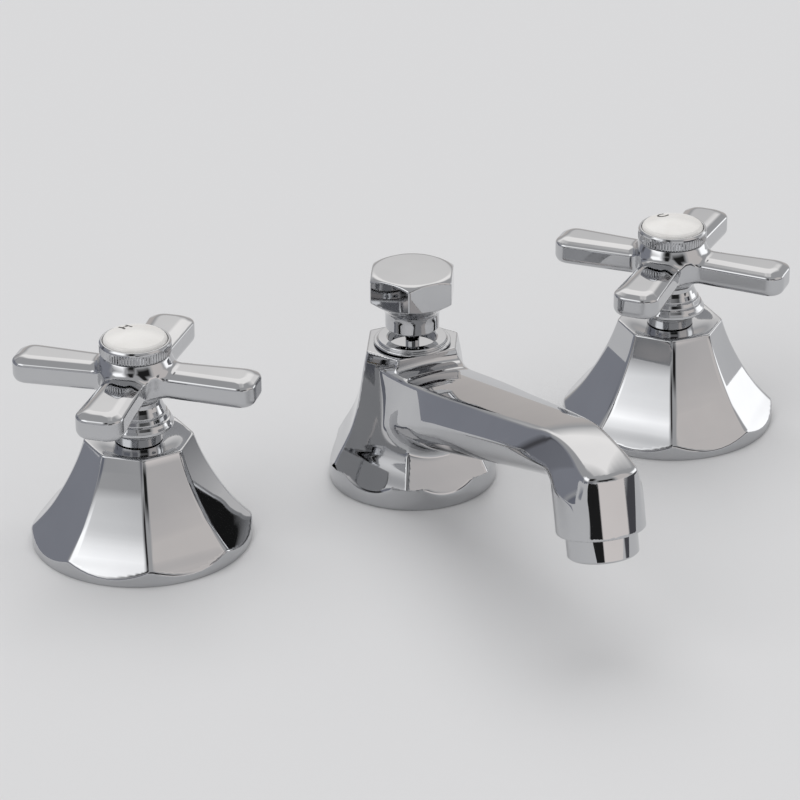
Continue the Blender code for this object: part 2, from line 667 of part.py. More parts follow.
def make_valve_body(name, x, inward):
    """Inlet below, outlet at the side, and a passage for each up to the ceramic discs."""
    place = {"location": (x, 0.0, 0.0)}
    profile = [
        (0.0, VALVE_TOP_Z), (SHANK_RADIUS, VALVE_TOP_Z), (SHANK_RADIUS, VALVE_END_Z),
        (VALVE_INLET_RADIUS, VALVE_END_Z), (VALVE_INLET_RADIUS, INLET_END_Z), (0.0, INLET_END_Z),
    ]
    body = turned(name, profile, "raw_brass", **place)
    join(body, cross_rod(name + "_outlet", OUTLET_RADIUS, inward * OUTLET_REACH, OUTLET_Z, x))
    high = VALVE_TOP_Z + OVERRUN
    cut(body, turned(name + "_bore", rod_profile(CARTRIDGE_RADIUS + GAP, high, BORE_FLOOR_Z), **place))

    inlet_roof = OUTLET_Z - OUTLET_BORE - OUTLET_WEB
    inlet = rod_profile(VALVE_INLET_BORE, inlet_roof, INLET_END_Z - OVERRUN)
    cut(body, turned(name + "_inlet_bore", inlet, **place))
    bore_start = PORT_OFFSET - PORT_RADIUS / 2
    reach = inward * (OUTLET_REACH - bore_start + OVERRUN)
    start = x + inward * bore_start
    cut(body, cross_rod(name + "_outlet_bore", OUTLET_BORE, reach, OUTLET_Z, start))
    for side, low in ((-inward, inlet_roof - OVERRUN), (inward, OUTLET_Z)):
        passage = rod_profile(PORT_RADIUS, BORE_FLOOR_Z + OVERRUN, low)
        at = (x + side * PORT_OFFSET, 0.0, 0.0)
        cut(body, turned(f"{name}_passage_{side}", passage, steps=WATERWAY_SIDES, location=at))


def make_hex_nut(name, x, radius, bore, top, bottom):
    nut = turned(name, rod_profile(radius, top, bottom), "raw_brass", steps=HEX_SIDES, location=(x, 0.0, 0.0))
    hole = rod_profile(bore + GAP, top + OVERRUN, bottom - OVERRUN)
    cut(nut, turned(name + "_hole", hole, location=(x, 0.0, 0.0)))


def make_ring_washer(name, x, finish, radius, bore, top, bottom):
    turned(name, tube_profile(radius, bore, top, bottom), finish, closed=True, location=(x, 0.0, 0.0))


def make_under_fixings(prefix, x, shank):
    """Rubber washer, brass washer and locknut, stacked under the worktop."""
    rubber_z = -DECK_THICKNESS
    washer_z = rubber_z - RUBBER_HEIGHT - GAP
    nut_z = washer_z - WASHER_HEIGHT - GAP
    radius, bore = shank + WASHER_MARGIN, shank + GAP
    make_ring_washer(
        prefix + "_under_washer", x, "black_rubber", radius, bore, rubber_z, rubber_z - RUBBER_HEIGHT,
    )
    make_ring_washer(
        prefix + "_deck_washer", x, "raw_brass", radius, bore, washer_z, washer_z - WASHER_HEIGHT,
    )
    make_hex_nut(prefix + "_locknut", x, shank + LOCKNUT_MARGIN, shank, nut_z, nut_z - LOCKNUT_HEIGHT)


def make_valve(prefix, x):
    inward = -1 if x > 0 else 1
    turn = inward * VALVE_TURN
    make_escutcheon(prefix + "_escutcheon", x, turn)
    gasket = ESC_BASE_RADIUS - ESC_WALL - GAP
    make_ring_washer(
        prefix + "_deck_gasket", x, "black_rubber", gasket, gasket - GASKET_WIDTH, GASKET_HEIGHT, 0.0,
    )
    make_hex_nut(prefix + "_deck_nut", x, DECK_NUT_RADIUS, SHANK_RADIUS, DECK_NUT_HEIGHT, 0.0)
    make_bonnet(prefix + "_bonnet", x)
    make_valve_body(prefix + "_valve_body", x, inward)
    make_cartridge(prefix + "_cartridge_body", x)
    make_fixed_disc(prefix + "_fixed_disc", x)
    make_seat_seal(prefix + "_seat_seal", x)
    make_under_fixings(prefix, x, SHANK_RADIUS)
    make_handle(prefix + "_cross_handle", x, turn)
    make_skirt(prefix + "_handle_skirt", x)
    make_ring(prefix + "_cap_ring", x)
    make_button(prefix + "_index_button", x)
    make_handle_screw(prefix + "_handle_screw", x)
    make_stem(prefix + "_valve_stem", x)
    make_turning_disc(prefix + "_turning_disc", x)


# Heights shared by the pieces of the spout
GUIDE_Z = SPOUT_TOP_Z + GAP
GUIDE_TOP_Z = GUIDE_Z + GUIDE_HEIGHT
KNOB_Z = GUIDE_TOP_Z + KNOB_LIFT
CHAMBER_Z = SPOUT_SHANK_INSERT + GAP
CHAMBER_ROOF_Z = CHAMBER_Z + CHAMBER_HEIGHT
SLEEVE_TOP_Z = CHAMBER_ROOF_Z + SLEEVE_INSERT
SHANK_END_Z = -SPOUT_SHANK_BELOW
TEE_TOP_Z = SHANK_END_Z + TEE_OVERLAP
TEE_END_Z = TEE_TOP_Z - TEE_HEIGHT
CROWN_START = NOSE_REACH - CROWN_LENGTH
NOSE_PLACE ={"location": (0.0, -NOSE_REACH, NOSE_RIM_Z), "tilt": -NOSE_TILT}


def arm_top(forward):
    return Vector((forward, SPOUT_ARM_TOP_Z + forward * math.tan(SPOUT_ARM_RISE)))


def arm_under(forward):
    return Vector((forward, SPOUT_UNDER_Z + forward * math.tan(SPOUT_UNDER_RISE)))


def nose_point(along, across):
    """Side view point on the nose: along its axis from the rim, and across it towards the front."""
    forward = NOSE_REACH - along * math.sin(NOSE_TILT) + across * math.cos(NOSE_TILT)
    return Vector((forward, NOSE_RIM_Z + along * math.cos(NOSE_TILT) + across * math.sin(NOSE_TILT)))


def under_bend():
    """The underside's rounded corner, from the arm into the back of the nose."""
    back = nose_point(0.0, -NOSE_RADIUS)
    rise = math.tan(SPOUT_UNDER_RISE)
    along = (arm_under(back.x).y - back.y) / (math.cos(NOSE_TILT) + rise * math.sin(NOSE_TILT))
    corner = nose_point(along, -NOSE_RADIUS)
    turn = math.pi / 2 + SPOUT_UNDER_RISE - NOSE_TILT
    reach = UNDER_BEND_RADIUS * math.tan(turn / 2)
    start = arm_under(corner.x - reach * math.cos(SPOUT_UNDER_RISE))
    end = nose_point(along - reach, -NOSE_RADIUS)
    sag = UNDER_BEND_RADIUS * (1 - math.cos(turn / 2))
    return [start, *(Vector(point) for point in arc(start, end, -sag, BEND_STEPS - 2))]


def spout_section(upper, lower, share, roundness):
    """One ring of the arm, between a point of its top line and one of its underside.

    Share runs from 0 at the back to 1 where the bend starts. Roundness turns the arm's
    section, flat on top with sloping sides and a curved hull, into the nose's circle.
    """
    top_half = ARM_TOP_HALF_BACK + share * (ARM_TOP_HALF_FRONT - ARM_TOP_HALF_BACK)
    wide_half = ARM_WIDE_HALF_BACK + share * (ARM_WIDE_HALF_FRONT - ARM_WIDE_HALF_BACK)
    wide_share = ARM_WIDE_SHARE_BACK + share * (ARM_WIDE_SHARE_FRONT - ARM_WIDE_SHARE_BACK)
    quarter = SECTION_POINTS // 4
    side = []
    for i in range(2 * quarter + 1):
        angle = math.pi / 2 * i / quarter
        if i <= CREASE_POINT:
            flat = (top_half * i / CREASE_POINT, 1.0)
        elif i <= quarter:
            down = (i - CREASE_POINT) / (quarter - CREASE_POINT)
            flat = (top_half + down * (wide_half - top_half), 1.0 - down * (1.0 - wide_share))
        else:
            flat = (wide_half * math.sin(angle), wide_share * (1.0 + math.cos(angle)))
        circle = (NOSE_RADIUS * math.sin(angle), (1.0 + math.cos(angle)) / 2)
        x = flat[0] + roundness * (circle[0] - flat[0])
        up = flat[1] + roundness * (circle[1] - flat[1])
        side.append((x, lower + up * (upper - lower)))
    ring = side + [(-x, point) for x, point in side[-2:0:-1]]
    return [(x, -point.x, point.y) for x, point in ring]


def make_spout_arm(name):
    rings = []
    for step in range(STRAIGHT_STEPS + 1):
        share = step / STRAIGHT_STEPS
        forward = ARM_START + share * (CROWN_START - ARM_START)
        rings.append(spout_section(arm_top(forward), arm_under(forward), share, 0.0))
    crease = nose_point(NOSE_CREASE, NOSE_RADIUS)
    crown = [Vector(point) for point in arc(arm_top(CROWN_START), crease, -CROWN_SAG, BEND_STEPS)]
    unders = under_bend() + [nose_point(NOSE_BACK_CREASE, -NOSE_RADIUS)]
    for step, (upper, lower) in enumerate(zip(crown, unders), start=1):
        roundness = (step / BEND_STEPS) ** CROWN_ROUNDING
        rings.append(spout_section(upper, lower, 1.0, roundness))
    for step in range(1, NOSE_STEPS + 1):
        left = 1 - step / NOSE_STEPS
        upper = nose_point(NOSE_EDGE + left * (NOSE_CREASE - NOSE_EDGE), NOSE_RADIUS)
        lower = nose_point(NOSE_EDGE + left * (NOSE_BACK_CREASE - NOSE_EDGE), -NOSE_RADIUS)
        rings.append(spout_section(upper, lower, 1.0, 1.0))
    rim = []
    for i in range(SECTION_POINTS):
        angle = 2 * math.pi * i / SECTION_POINTS
        point = nose_point(0.0, (NOSE_RADIUS - NOSE_EDGE) * math.cos(angle))
        rim.append(((NOSE_RADIUS - NOSE_EDGE) * math.sin(angle), -point.x, point.y))
    rings.append(rim)
    return loft(name, rings)


def make_waterway(name):
    """A round passage that follows the arm from the chamber to the nose."""
    points = [Vector((CHAMBER_RADIUS / 2, CHAMBER_Z + CHAMBER_HEIGHT / 2))]
    for share in WATERWAY_SHARES:
        forward = share * CROWN_START
        points.append((arm_top(forward) + arm_under(forward)) / 2)
    points.append(nose_point(NOSE_BORE_DEPTH - WATERWAY_RADIUS, 0.0))
    rings = []
    for i, point in enumerate(points):
        ahead = (points[min(i + 1, len(points) - 1)] - points[max(i - 1, 0)]).normalized()
        across = Vector((-ahead.y, ahead.x))
        ring = []
        for k in range(WATERWAY_SIDES):
            angle = 2 * math.pi * k / WATERWAY_SIDES
            middle = point + across * WATERWAY_RADIUS * math.cos(angle)
            ring.append((WATERWAY_RADIUS * math.sin(angle), -middle.x, middle.y))
        rings.append(ring)
    return loft(name, rings)


def make_spout_body(name):
    foot_radius = SPOUT_BASE_RADIUS * SPOUT_FOOT_SHARE / math.cos(math.pi / HEX_SIDES)
    growth = foot_radius - SPOUT_TOP_RADIUS
    profile = [(0.0, SPOUT_TOP_Z)]
    for out, up in SPOUT_FLARE_SHARES:
        profile.append((SPOUT_TOP_RADIUS + out * growth, up * SPOUT_TOP_Z))
    profile.append((0.0, 0.0))
    spout = turned(name, profile, "polished_chrome", steps=HEX_SIDES)
    high, low = SPOUT_TOP_Z + OVERRUN, -OVERRUN
    keep_within(spout, turned(name + "_base", rod_profile(SPOUT_BASE_RADIUS, high, low), steps=FINE_STEPS))

    floor_z = arm_top(RELIEF_START + RELIEF_CORNER).y - RELIEF_SINK
    step_foot = (RELIEF_START, floor_z + RELIEF_CORNER)
    floor_start = (RELIEF_START + RELIEF_CORNER, floor_z)
    quarter_sag = RELIEF_CORNER * (1 - math.cos(math.pi / 4))
    far = RELIEF_START + RELIEF_LENGTH
    relief = [(RELIEF_START, high), step_foot, *arc(step_foot, floor_start, quarter_sag, RELIEF_STEPS)]
    relief += [(far, floor_z), (far, high)]
    cut(spout, prism(name + "_relief", relief, SPOUT_BASE_RADIUS))
    join(spout, make_spout_arm(name + "_arm"))

    socket_depth = AERATOR_THREAD_LENGTH + NOSE_WASHER_HEIGHT + 2 * GAP
    nose_bore = [
        (0.0, NOSE_BORE_DEPTH), (NOSE_BORE, NOSE_BORE_DEPTH), (NOSE_BORE, socket_depth),
        (AERATOR_THREAD_RADIUS + GAP, socket_depth), (AERATOR_THREAD_RADIUS + GAP, low), (0.0, low),
    ]
    cut(spout, turned(name + "_nose_bore", nose_bore, steps=FINE_STEPS, **NOSE_PLACE))
    cut(spout, make_waterway(name + "_waterway"))
    chamber = [
        (0.0, CHAMBER_ROOF_Z), (CHAMBER_RADIUS, CHAMBER_ROOF_Z), (CHAMBER_RADIUS, CHAMBER_Z),
        (SPOUT_SHANK_RADIUS + GAP, CHAMBER_Z), (SPOUT_SHANK_RADIUS + GAP, SPOUT_RECESS_DEPTH),
        (SPOUT_RECESS_RADIUS, SPOUT_RECESS_DEPTH), (SPOUT_RECESS_RADIUS, low), (0.0, low),
    ]
    cut(spout, turned(name + "_chamber", chamber))
    guide_floor = SPOUT_TOP_Z - GUIDE_SPIGOT_LENGTH
    sleeve_socket = SLEEVE_RADIUS + GAP
    rod_hole = ROD_RADIUS + GAP
    rod_way = [
        (0.0, high), (GUIDE_SPIGOT_RADIUS + GAP, high), (GUIDE_SPIGOT_RADIUS + GAP, guide_floor),
        (rod_hole, guide_floor), (rod_hole, SLEEVE_TOP_Z + GAP), (sleeve_socket, SLEEVE_TOP_Z + GAP),
        (sleeve_socket, CHAMBER_ROOF_Z - OVERRUN), (0.0, CHAMBER_ROOF_Z - OVERRUN),
    ]
    cut(spout, turned(name + "_rod_way", rod_way, steps=FINE_STEPS))


def make_aerator():
    bottom = -AERATOR_HEIGHT
    lip_bore = AERATOR_BORE - AERATOR_LIP
    lip_top = bottom + AERATOR_LIP_HEIGHT
    profile = [
        (AERATOR_THREAD_RADIUS, AERATOR_THREAD_LENGTH), (AERATOR_THREAD_RADIUS, -GAP),
        (AERATOR_RADIUS, -GAP), (AERATOR_RADIUS, bottom + AERATOR_EDGE),
        (AERATOR_RADIUS - AERATOR_EDGE, bottom), (lip_bore, bottom), (lip_bore, lip_top),
        (AERATOR_BORE, lip_top), (AERATOR_BORE, AERATOR_THREAD_LENGTH),
    ]
    turned("aerator_housing", profile, "polished_chrome", steps=FINE_STEPS, closed=True, **NOSE_PLACE)

    screen_z = lip_top + GAP
    screen_profile = rod_profile(AERATOR_BORE - GAP, screen_z + SCREEN_HEIGHT, screen_z)
    screen = turned("aerator_insert", screen_profile, "white_plastic", **NOSE_PLACE)
    slot_size = (SCREEN_SLOT_WIDTH, 3 * AERATOR_RADIUS, 2 * SCREEN_SLOT_DEPTH)
    middle = (SCREEN_SLOTS - 1) / 2
    place = nose_point(screen_z, 0.0)
    for i in range(SCREEN_SLOTS):
        slot = box(f"aerator_slot_{i}", slot_size, ((i - middle) * SCREEN_SLOT_PITCH, -place.x, place.y))
        slot.rotation_euler.x = -NOSE_TILT
        cut(screen, slot)

    washer_z = AERATOR_THREAD_LENGTH + GAP
    washer = tube_profile(AERATOR_THREAD_RADIUS, NOSE_WASHER_BORE, washer_z + NOSE_WASHER_HEIGHT, washer_z)
    turned("aerator_washer", washer, "black_rubber", closed=True, **NOSE_PLACE)


def make_guide(name):
    rod_hole = ROD_RADIUS + GAP
    flange_top = GUIDE_Z + GUIDE_FLANGE_HEIGHT
    well_z = GUIDE_TOP_Z - GUIDE_WELL_DEPTH
    end_z = GUIDE_Z - GUIDE_SPIGOT_LENGTH + GAP
    profile = [
        (GUIDE_STEP_RADIUS, GUIDE_TOP_Z), (GUIDE_STEP_RADIUS, flange_top), (GUIDE_RADIUS, flange_top),
        (GUIDE_RADIUS, GUIDE_Z), (GUIDE_SPIGOT_RADIUS, GUIDE_Z), (GUIDE_SPIGOT_RADIUS, end_z),
        (rod_hole, end_z), (rod_hole, well_z), (GUIDE_WELL_RADIUS, well_z), (GUIDE_WELL_RADIUS, GUIDE_TOP_Z),
    ]
    turned(name, profile, "polished_chrome", steps=FINE_STEPS, closed=True)


def make_lift_knob(name):
    """A turned knob cut to six sides, with the nut's cones above and below the flats."""
    top_z = KNOB_Z + KNOB_HEIGHT
    neck_top = KNOB_Z + KNOB_NECK_HEIGHT
    flare_top = neck_top + KNOB_FLARE_HEIGHT
    profile = [
        (0.0, top_z), (KNOB_DISC_RADIUS - KNOB_EDGE, top_z), (KNOB_DISC_RADIUS, top_z - KNOB_EDGE),
        (KNOB_HEX_RADIUS, top_z - KNOB_TOP_DROP), (KNOB_HEX_RADIUS, flare_top + KNOB_UNDER_RISE),
        (KNOB_FLARE_RADIUS, flare_top), (KNOB_NECK_RADIUS, neck_top),
        (KNOB_NECK_RADIUS, KNOB_Z + KNOB_EDGE), (KNOB_NECK_RADIUS - KNOB_EDGE, KNOB_Z), (0.0, KNOB_Z),
    ]
    knob = turned(name, profile, "polished_chrome", steps=FINE_STEPS)
    hexagon = rod_profile(KNOB_HEX_RADIUS, top_z + OVERRUN, KNOB_Z - OVERRUN)
    keep_within(knob, turned(name + "_hexagon", hexagon, steps=HEX_SIDES))
    socket = rod_profile(ROD_RADIUS + GAP, KNOB_Z + ROD_INSERT + GAP, KNOB_Z - OVERRUN)
    cut(knob, turned(name + "_socket", socket))


def make_inlet_tee(name):
    bottom = TEE_END_Z - OVERRUN
    tee = turned(name, rod_profile(TEE_RADIUS, TEE_TOP_Z, TEE_END_Z), "raw_brass")
    port_z = SHANK_END_Z - TEE_PORT_DROP
    for side in (-1, 1):
        join(tee, cross_rod(f"{name}_port_{side}", TEE_PORT_RADIUS, side * TEE_PORT_REACH, port_z))
    socket = SPOUT_SHANK_RADIUS + GAP
    socket_end = SHANK_END_Z - GAP
    sump = TEE_END_Z + TEE_FLOOR
    sleeve_hole = SLEEVE_RADIUS + GAP
    profile = [
        (0.0, TEE_TOP_Z + OVERRUN), (socket, TEE_TOP_Z + OVERRUN), (socket, socket_end),
        (SPOUT_SHANK_BORE, socket_end), (SPOUT_SHANK_BORE, sump), (sleeve_hole, sump),
        (sleeve_hole, bottom), (0.0, bottom),
    ]
    cut(tee, turned(name + "_bore", profile))
    through = 2 * (TEE_PORT_REACH + OVERRUN)
    cut(tee, cross_rod(name + "_port_bore", TEE_PORT_BORE, through, port_z, -through / 2))


def make_spout():
    make_spout_body("spout_body")
    make_aerator()
    make_guide("lift_rod_guide")
    make_lift_knob("lift_knob")
    turned("lift_rod", rod_profile(ROD_RADIUS, KNOB_Z + ROD_INSERT, -ROD_BELOW), "polished_chrome")
    make_ring_washer(
        "spout_shank", 0.0, "raw_brass", SPOUT_SHANK_RADIUS, SPOUT_SHANK_BORE,
        SPOUT_SHANK_INSERT, SHANK_END_Z,
    )
    make_ring_washer(
        "rod_sleeve", 0.0, "raw_brass", SLEEVE_RADIUS, SLEEVE_BORE, SLEEVE_TOP_Z, TEE_END_Z - SLEEVE_TAIL,
    )
    make_ring_washer(
        "spout_gasket", 0.0, "black_rubber", SPOUT_RECESS_RADIUS - GAP, SPOUT_SHANK_RADIUS + GAP,
        SPOUT_RECESS_DEPTH - GAP, 0.0,
    )
    make_under_fixings("spout", 0.0, SPOUT_SHANK_RADIUS)
    make_inlet_tee("inlet_tee")


def freeze_shapes():
    """Apply every part's modifiers, then smooth what is round and keep its edges crisp."""
    depsgraph = bpy.context.evaluated_depsgraph_get()
    frozen = {}
    for obj in PARTS.objects:
        frozen[obj] = bpy.data.meshes.new_from_object(obj.evaluated_get(depsgraph))
    for obj, mesh in frozen.items():
        obj.modifiers.clear()
        obj.data = mesh
        mesh.shade_smooth()
        mesh.set_sharp_from_angle(angle=SMOOTH_ANGLE)


make_valve("hot", -VALVE_SPACING / 2)
make_valve("cold", VALVE_SPACING / 2)
make_spout()
freeze_shapes()
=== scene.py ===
"""Looks for the bathroom faucet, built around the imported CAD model.

The frame is the CAD model's: the deck is z = 0, the origin is on the spout's axis, the spout
points along -Y, hot is at -X and cold at +X. Shapes are worked out in millimetres, and their
meshes are in metres.
"""

import json
import math

import bpy
import numpy as np
from mathutils import Matrix, Vector


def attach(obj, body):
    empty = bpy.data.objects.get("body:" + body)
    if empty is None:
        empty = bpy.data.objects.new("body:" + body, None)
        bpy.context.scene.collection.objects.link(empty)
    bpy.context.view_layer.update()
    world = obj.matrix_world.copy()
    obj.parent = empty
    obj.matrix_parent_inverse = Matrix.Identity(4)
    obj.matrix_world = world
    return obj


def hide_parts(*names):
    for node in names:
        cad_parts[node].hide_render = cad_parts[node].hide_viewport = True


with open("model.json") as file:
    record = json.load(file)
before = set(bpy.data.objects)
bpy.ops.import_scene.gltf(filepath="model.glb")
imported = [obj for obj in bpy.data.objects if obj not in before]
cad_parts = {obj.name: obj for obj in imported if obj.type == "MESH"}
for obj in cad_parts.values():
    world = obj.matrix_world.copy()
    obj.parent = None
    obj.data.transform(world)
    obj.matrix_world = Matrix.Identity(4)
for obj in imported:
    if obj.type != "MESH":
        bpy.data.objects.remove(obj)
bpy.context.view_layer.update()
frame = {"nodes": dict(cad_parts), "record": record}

MM = 0.001
TINY = 1e-9
ROOT_2 = math.sqrt(2.0)
CHROME = "polished_chrome"


# Distances: a field gives the signed distance from a surface in millimetres, negative inside.
# The k of a smooth maximum or minimum is about the size of its fillet

SLOPE_STEP = 0.01
# What a limit gives where it doesn't apply
NO_LIMIT = -30.0


def smooth_max(a, b, k):
    """The larger of two distances, with the edge between them rounded."""
    h = np.maximum(k - np.abs(a - b), 0.0) / k
    return np.maximum(a, b) + h * h * k / 4


def smooth_min(a, b, k):
    """The smaller of two distances, with the groove between them filled."""
    return -smooth_max(-a, -b, k)


def largest(k, *distances):
    """The smooth maximum of several distances."""
    result = distances[0]
    for distance in distances[1:]:
        result = smooth_max(result, distance, k)
    return result


def spline(knots):
    """A smooth curve through (position, value) points, as a function on arrays."""
    x, y = np.array(knots, float).T
    chords = np.diff(y) / np.diff(x)
    slopes = np.empty_like(y)
    slopes[0], slopes[-1] = chords[0], chords[-1]
    before, after = np.diff(x)[:-1], np.diff(x)[1:]
    slopes[1:-1] = (chords[:-1] * after + chords[1:] * before) / (before + after)

    def value(at):
        at = np.asarray(at, float)
        i = np.clip(np.searchsorted(x, at) - 1, 0, len(x) - 2)
        width = x[i + 1] - x[i]
        t = np.clip((at - x[i]) / width, 0.0, 1.0)
        a, b = slopes[i] * width, slopes[i + 1] * width
        rise = y[i + 1] - y[i]
        inner = y[i] + a * t + (3 * rise - 2 * a - b) * t ** 2 + (a + b - 2 * rise) * t ** 3
        past = np.where(at < x[0], (at - x[0]) * slopes[0], 0.0)
        return inner + np.where(at > x[-1], (at - x[-1]) * slopes[-1], past)

    return value


def facet_distance(x, y, z, sides, corner, inradius, k):
    """Distance outside a flare of flat sides, from a corner's angle and the inradius by z."""
    reach = inradius(z)
    slope = (inradius(z + SLOPE_STEP) - inradius(z - SLOPE_STEP)) / (2 * SLOPE_STEP)
    scale = 1.0 / np.sqrt(1.0 + slope * slope)
    middles = [corner + (i + 0.5) * 2 * math.pi / sides for i in range(sides)]
    return largest(k, *(
        (x * math.cos(angle) + y * math.sin(angle) - reach) * scale for angle in middles
    ))


def cone(around, z, start, end):
    """Distance outside the line from one (radius, z) to another, turned about Z."""
    run, rise = end[0] - start[0], end[1] - start[1]
    return ((around - start[0]) * -rise + (z - start[1]) * run) / math.hypot(run, rise)


# Meshes of fields

LEAST_SLOPE = 0.05
LONGEST_MOVE = 0.6
CUBE = [(a, b, c) for a in (0, 1) for b in (0, 1) for c in (0, 1)]
CUBE_EDGES = [
    (np.array(a), np.array(b)) for i, a in enumerate(CUBE) for b in CUBE[i + 1:]
    if sum(p != q for p, q in zip(a, b)) == 1
]


def gradient(field, points):
    """The field's slope at each point."""
    result = np.empty_like(points)
    for axis in range(3):
        offset = np.zeros(3)
        offset[axis] = SLOPE_STEP
        ahead, behind = points + offset, points - offset
        result[:, axis] = (field(*ahead.T) - field(*behind.T)) / (2 * SLOPE_STEP)
    return result


def settle(field, points, rounds=4):
    """Move points onto the field's surface, and return them with its normals."""
    for _ in range(rounds):
        slope = gradient(field, points)
        steepness = np.maximum((slope ** 2).sum(1), LEAST_SLOPE)
        move = (field(*points.T) / steepness)[:, None] * slope
        length = np.linalg.norm(move, axis=1, keepdims=True)
        points = points - move * np.minimum(1.0, LONGEST_MOVE / np.maximum(length, TINY))
    normals = gradient(field, points)
    return points, normals / np.maximum(np.linalg.norm(normals, axis=1, keepdims=True), TINY)


def sample(field, axes):
    """The field's value at each point of a grid."""
    value = np.empty([len(axis) for axis in axes], np.float32)
    plane_y, plane_z = np.meshgrid(axes[1], axes[2], indexing="ij")
    for i, x in enumerate(axes[0]):
        value[i] = field(np.full_like(plane_y, x), plane_y, plane_z)
    return value


def crossed_cells(inside):
    """The grid's cells that the surface passes through, and a grid of their numbers."""
    shape = [n - 1 for n in inside.shape]
    count = np.zeros(shape, np.int8)
    for a, b, c in CUBE:
        count += inside[a:a + shape[0], b:b + shape[1], c:c + shape[2]]
    cells = np.argwhere((count > 0) & (count < len(CUBE)))
    index = np.full(shape, -1, np.int64)
    index[tuple(cells.T)] = np.arange(len(cells))
    return cells, index


def cell_points(value, cells):
    """A point in each cell, amid the places where the cell's edges cross the surface."""
    total = np.zeros((len(cells), 3))
    crossings = np.zeros(len(cells))
    for a, b in CUBE_EDGES:
        value_a = value[tuple((cells + a).T)].astype(float)
        value_b = value[tuple((cells + b).T)].astype(float)
        crossed = (value_a < 0) != (value_b < 0)
        t = np.where(crossed, value_a / np.where(crossed, value_a - value_b, 1.0), 0.0)
        total += crossed[:, None] * (a + t[:, None] * (b - a))
        crossings += crossed
    return cells + total / crossings[:, None]


def cells_round(edges, one, two, index):
    """The numbers of the four cells round each grid edge, in turn."""
    ring = []
    for back_one, back_two in ((1, 1), (0, 1), (0, 0), (1, 0)):
        cell = edges.copy()
        cell[:, one] -= back_one
        cell[:, two] -= back_two
        ring.append(index[tuple(cell.T)])
    return np.stack(ring, 1)


def cell_faces(inside, index):
    """A quad for each grid edge that crosses the surface."""
    faces = []
    for axis in range(3):
        one, two = (axis + 1) % 3, (axis + 2) % 3
        before, after = [slice(None)] * 3, [slice(None)] * 3
        before[axis], after[axis] = slice(0, -1), slice(1, None)
        here, there = inside[tuple(before)], inside[tuple(after)]
        for crossing, turn in ((here & ~there, 1), (~here & there, -1)):
            edges = np.argwhere(crossing)
            edges = edges[(edges[:, one] > 0) & (edges[:, two] > 0)]
            edges = edges[(edges[:, one] < index.shape[one]) & (edges[:, two] < index.shape[two])]
            faces.append(cells_round(edges, one, two, index)[:, ::turn])
    return np.concatenate(faces).tolist()


def field_mesh(field, low, high, step):
    """Points, faces and normals of the surface where a field is zero, inside a box."""
    axes = [np.arange(a, b + step, step) for a, b in zip(low, high)]
    value = sample(field, axes)
    cells, index = crossed_cells(value < 0)
    points = np.array(low) + step * cell_points(value, cells)
    points, normals = settle(field, points)
    return points, cell_faces(value < 0, index), normals


# Meshes in rings about Z

ON_AXIS = 1e-6
STRAIGHT = 1e-3
# The most of a side that a fillet takes at one end
FILLET_SHARE = 0.45
FILLET_STEPS = 5


def outward(a, b):
    """The unit normal to the line from a to b, on its left."""
    d = (b - a) / np.linalg.norm(b - a)
    return np.array([-d[1], d[0]])


def fillet(back, point, ahead, radius):
    """The arc that rounds a corner, as pairs of a point and its outward normal."""
    before, after = outward(back, point), outward(point, ahead)
    turn = math.acos(max(-1.0, min(1.0, float(before @ after))))
    if turn < STRAIGHT:
        return [(point, before)]
    room = FILLET_SHARE * min(np.linalg.norm(point - back), np.linalg.norm(ahead - point))
    reach = min(radius * math.tan(turn / 2), room)
    size = reach / math.tan(turn / 2)
    start = point - reach * (point - back) / np.linalg.norm(point - back)
    side = 1.0 if before[0] * after[1] - before[1] * after[0] < 0 else -1.0
    centre = start - side * size * before
    arc = []
    for k in range(FILLET_STEPS + 1):
        angle = -side * turn * k / FILLET_STEPS
        c, s = math.cos(angle), math.sin(angle)
        normal = np.array([before[0] * c - before[1] * s, before[0] * s + before[1] * c])
        arc.append((centre + side * size * normal, normal))
    return arc


def rounded(profile, radius, closed):
    """A profile with its corners rounded, as pairs of a point and its outward normal."""
    points = [np.array(p, float) for p in profile]
    last = len(points) - 1
    result = []
    for i, point in enumerate(points):
        if closed or 0 < i < last:
            result += fillet(points[i - 1], point, points[(i + 1) % len(points)], radius)
        elif i == 0:
            result.append((point, outward(point, points[1])))
        else:
            result.append((point, outward(points[-2], point)))
    return result


def circle(r, z, angles):
    """A ring of points. The radius is one number, or one for each angle."""
    return np.stack([r * np.cos(angles), r * np.sin(angles), np.full(len(angles), z)], 1)


def between(a, wide_a, b, wide_b):
    """Faces between two rings, each given by its first point's number and its width."""
    columns = max(wide_a, wide_b)
    faces = []
    for i in range(columns):
        j = (i + 1) % columns
        if wide_a == 1:
            faces.append((a, b + i, b + j))
        elif wide_b == 1:
            faces.append((a + i, b, a + j))
        else:
            faces.append((a + i, b + i, b + j, a + j))
    return faces


def stitch(rings, closed):
    """Faces from each ring of points to the next. A ring may be one point on the axis."""
    widths = [len(ring) for ring in rings]
    starts = [sum(widths[:i]) for i in range(len(widths))]
    spans = list(zip(starts, widths))
    if closed:
        spans.append(spans[0])
    faces = []
    for span, following in zip(spans, spans[1:]):
        faces += between(*span, *following)
    return faces


def new_object(name, data):
    obj = bpy.data.objects.new(name, data)
    bpy.context.scene.collection.objects.link(obj)
    return obj


def to_object(name, points, faces, normals=None, place=Matrix()):
    """A smooth mesh object from points in millimetres, with its place in its mesh."""
    turn = np.array(place.to_3x3()).T
    mesh = bpy.data.meshes.new(name)
    mesh.from_pydata((points * MM @ turn + np.array(place.translation)).tolist(), [], faces)
    mesh.validate()
    mesh.shade_smooth()
    if normals is not None:
        mesh.normals_split_custom_set_from_vertices((normals @ turn).tolist())
    return new_object(name, mesh)


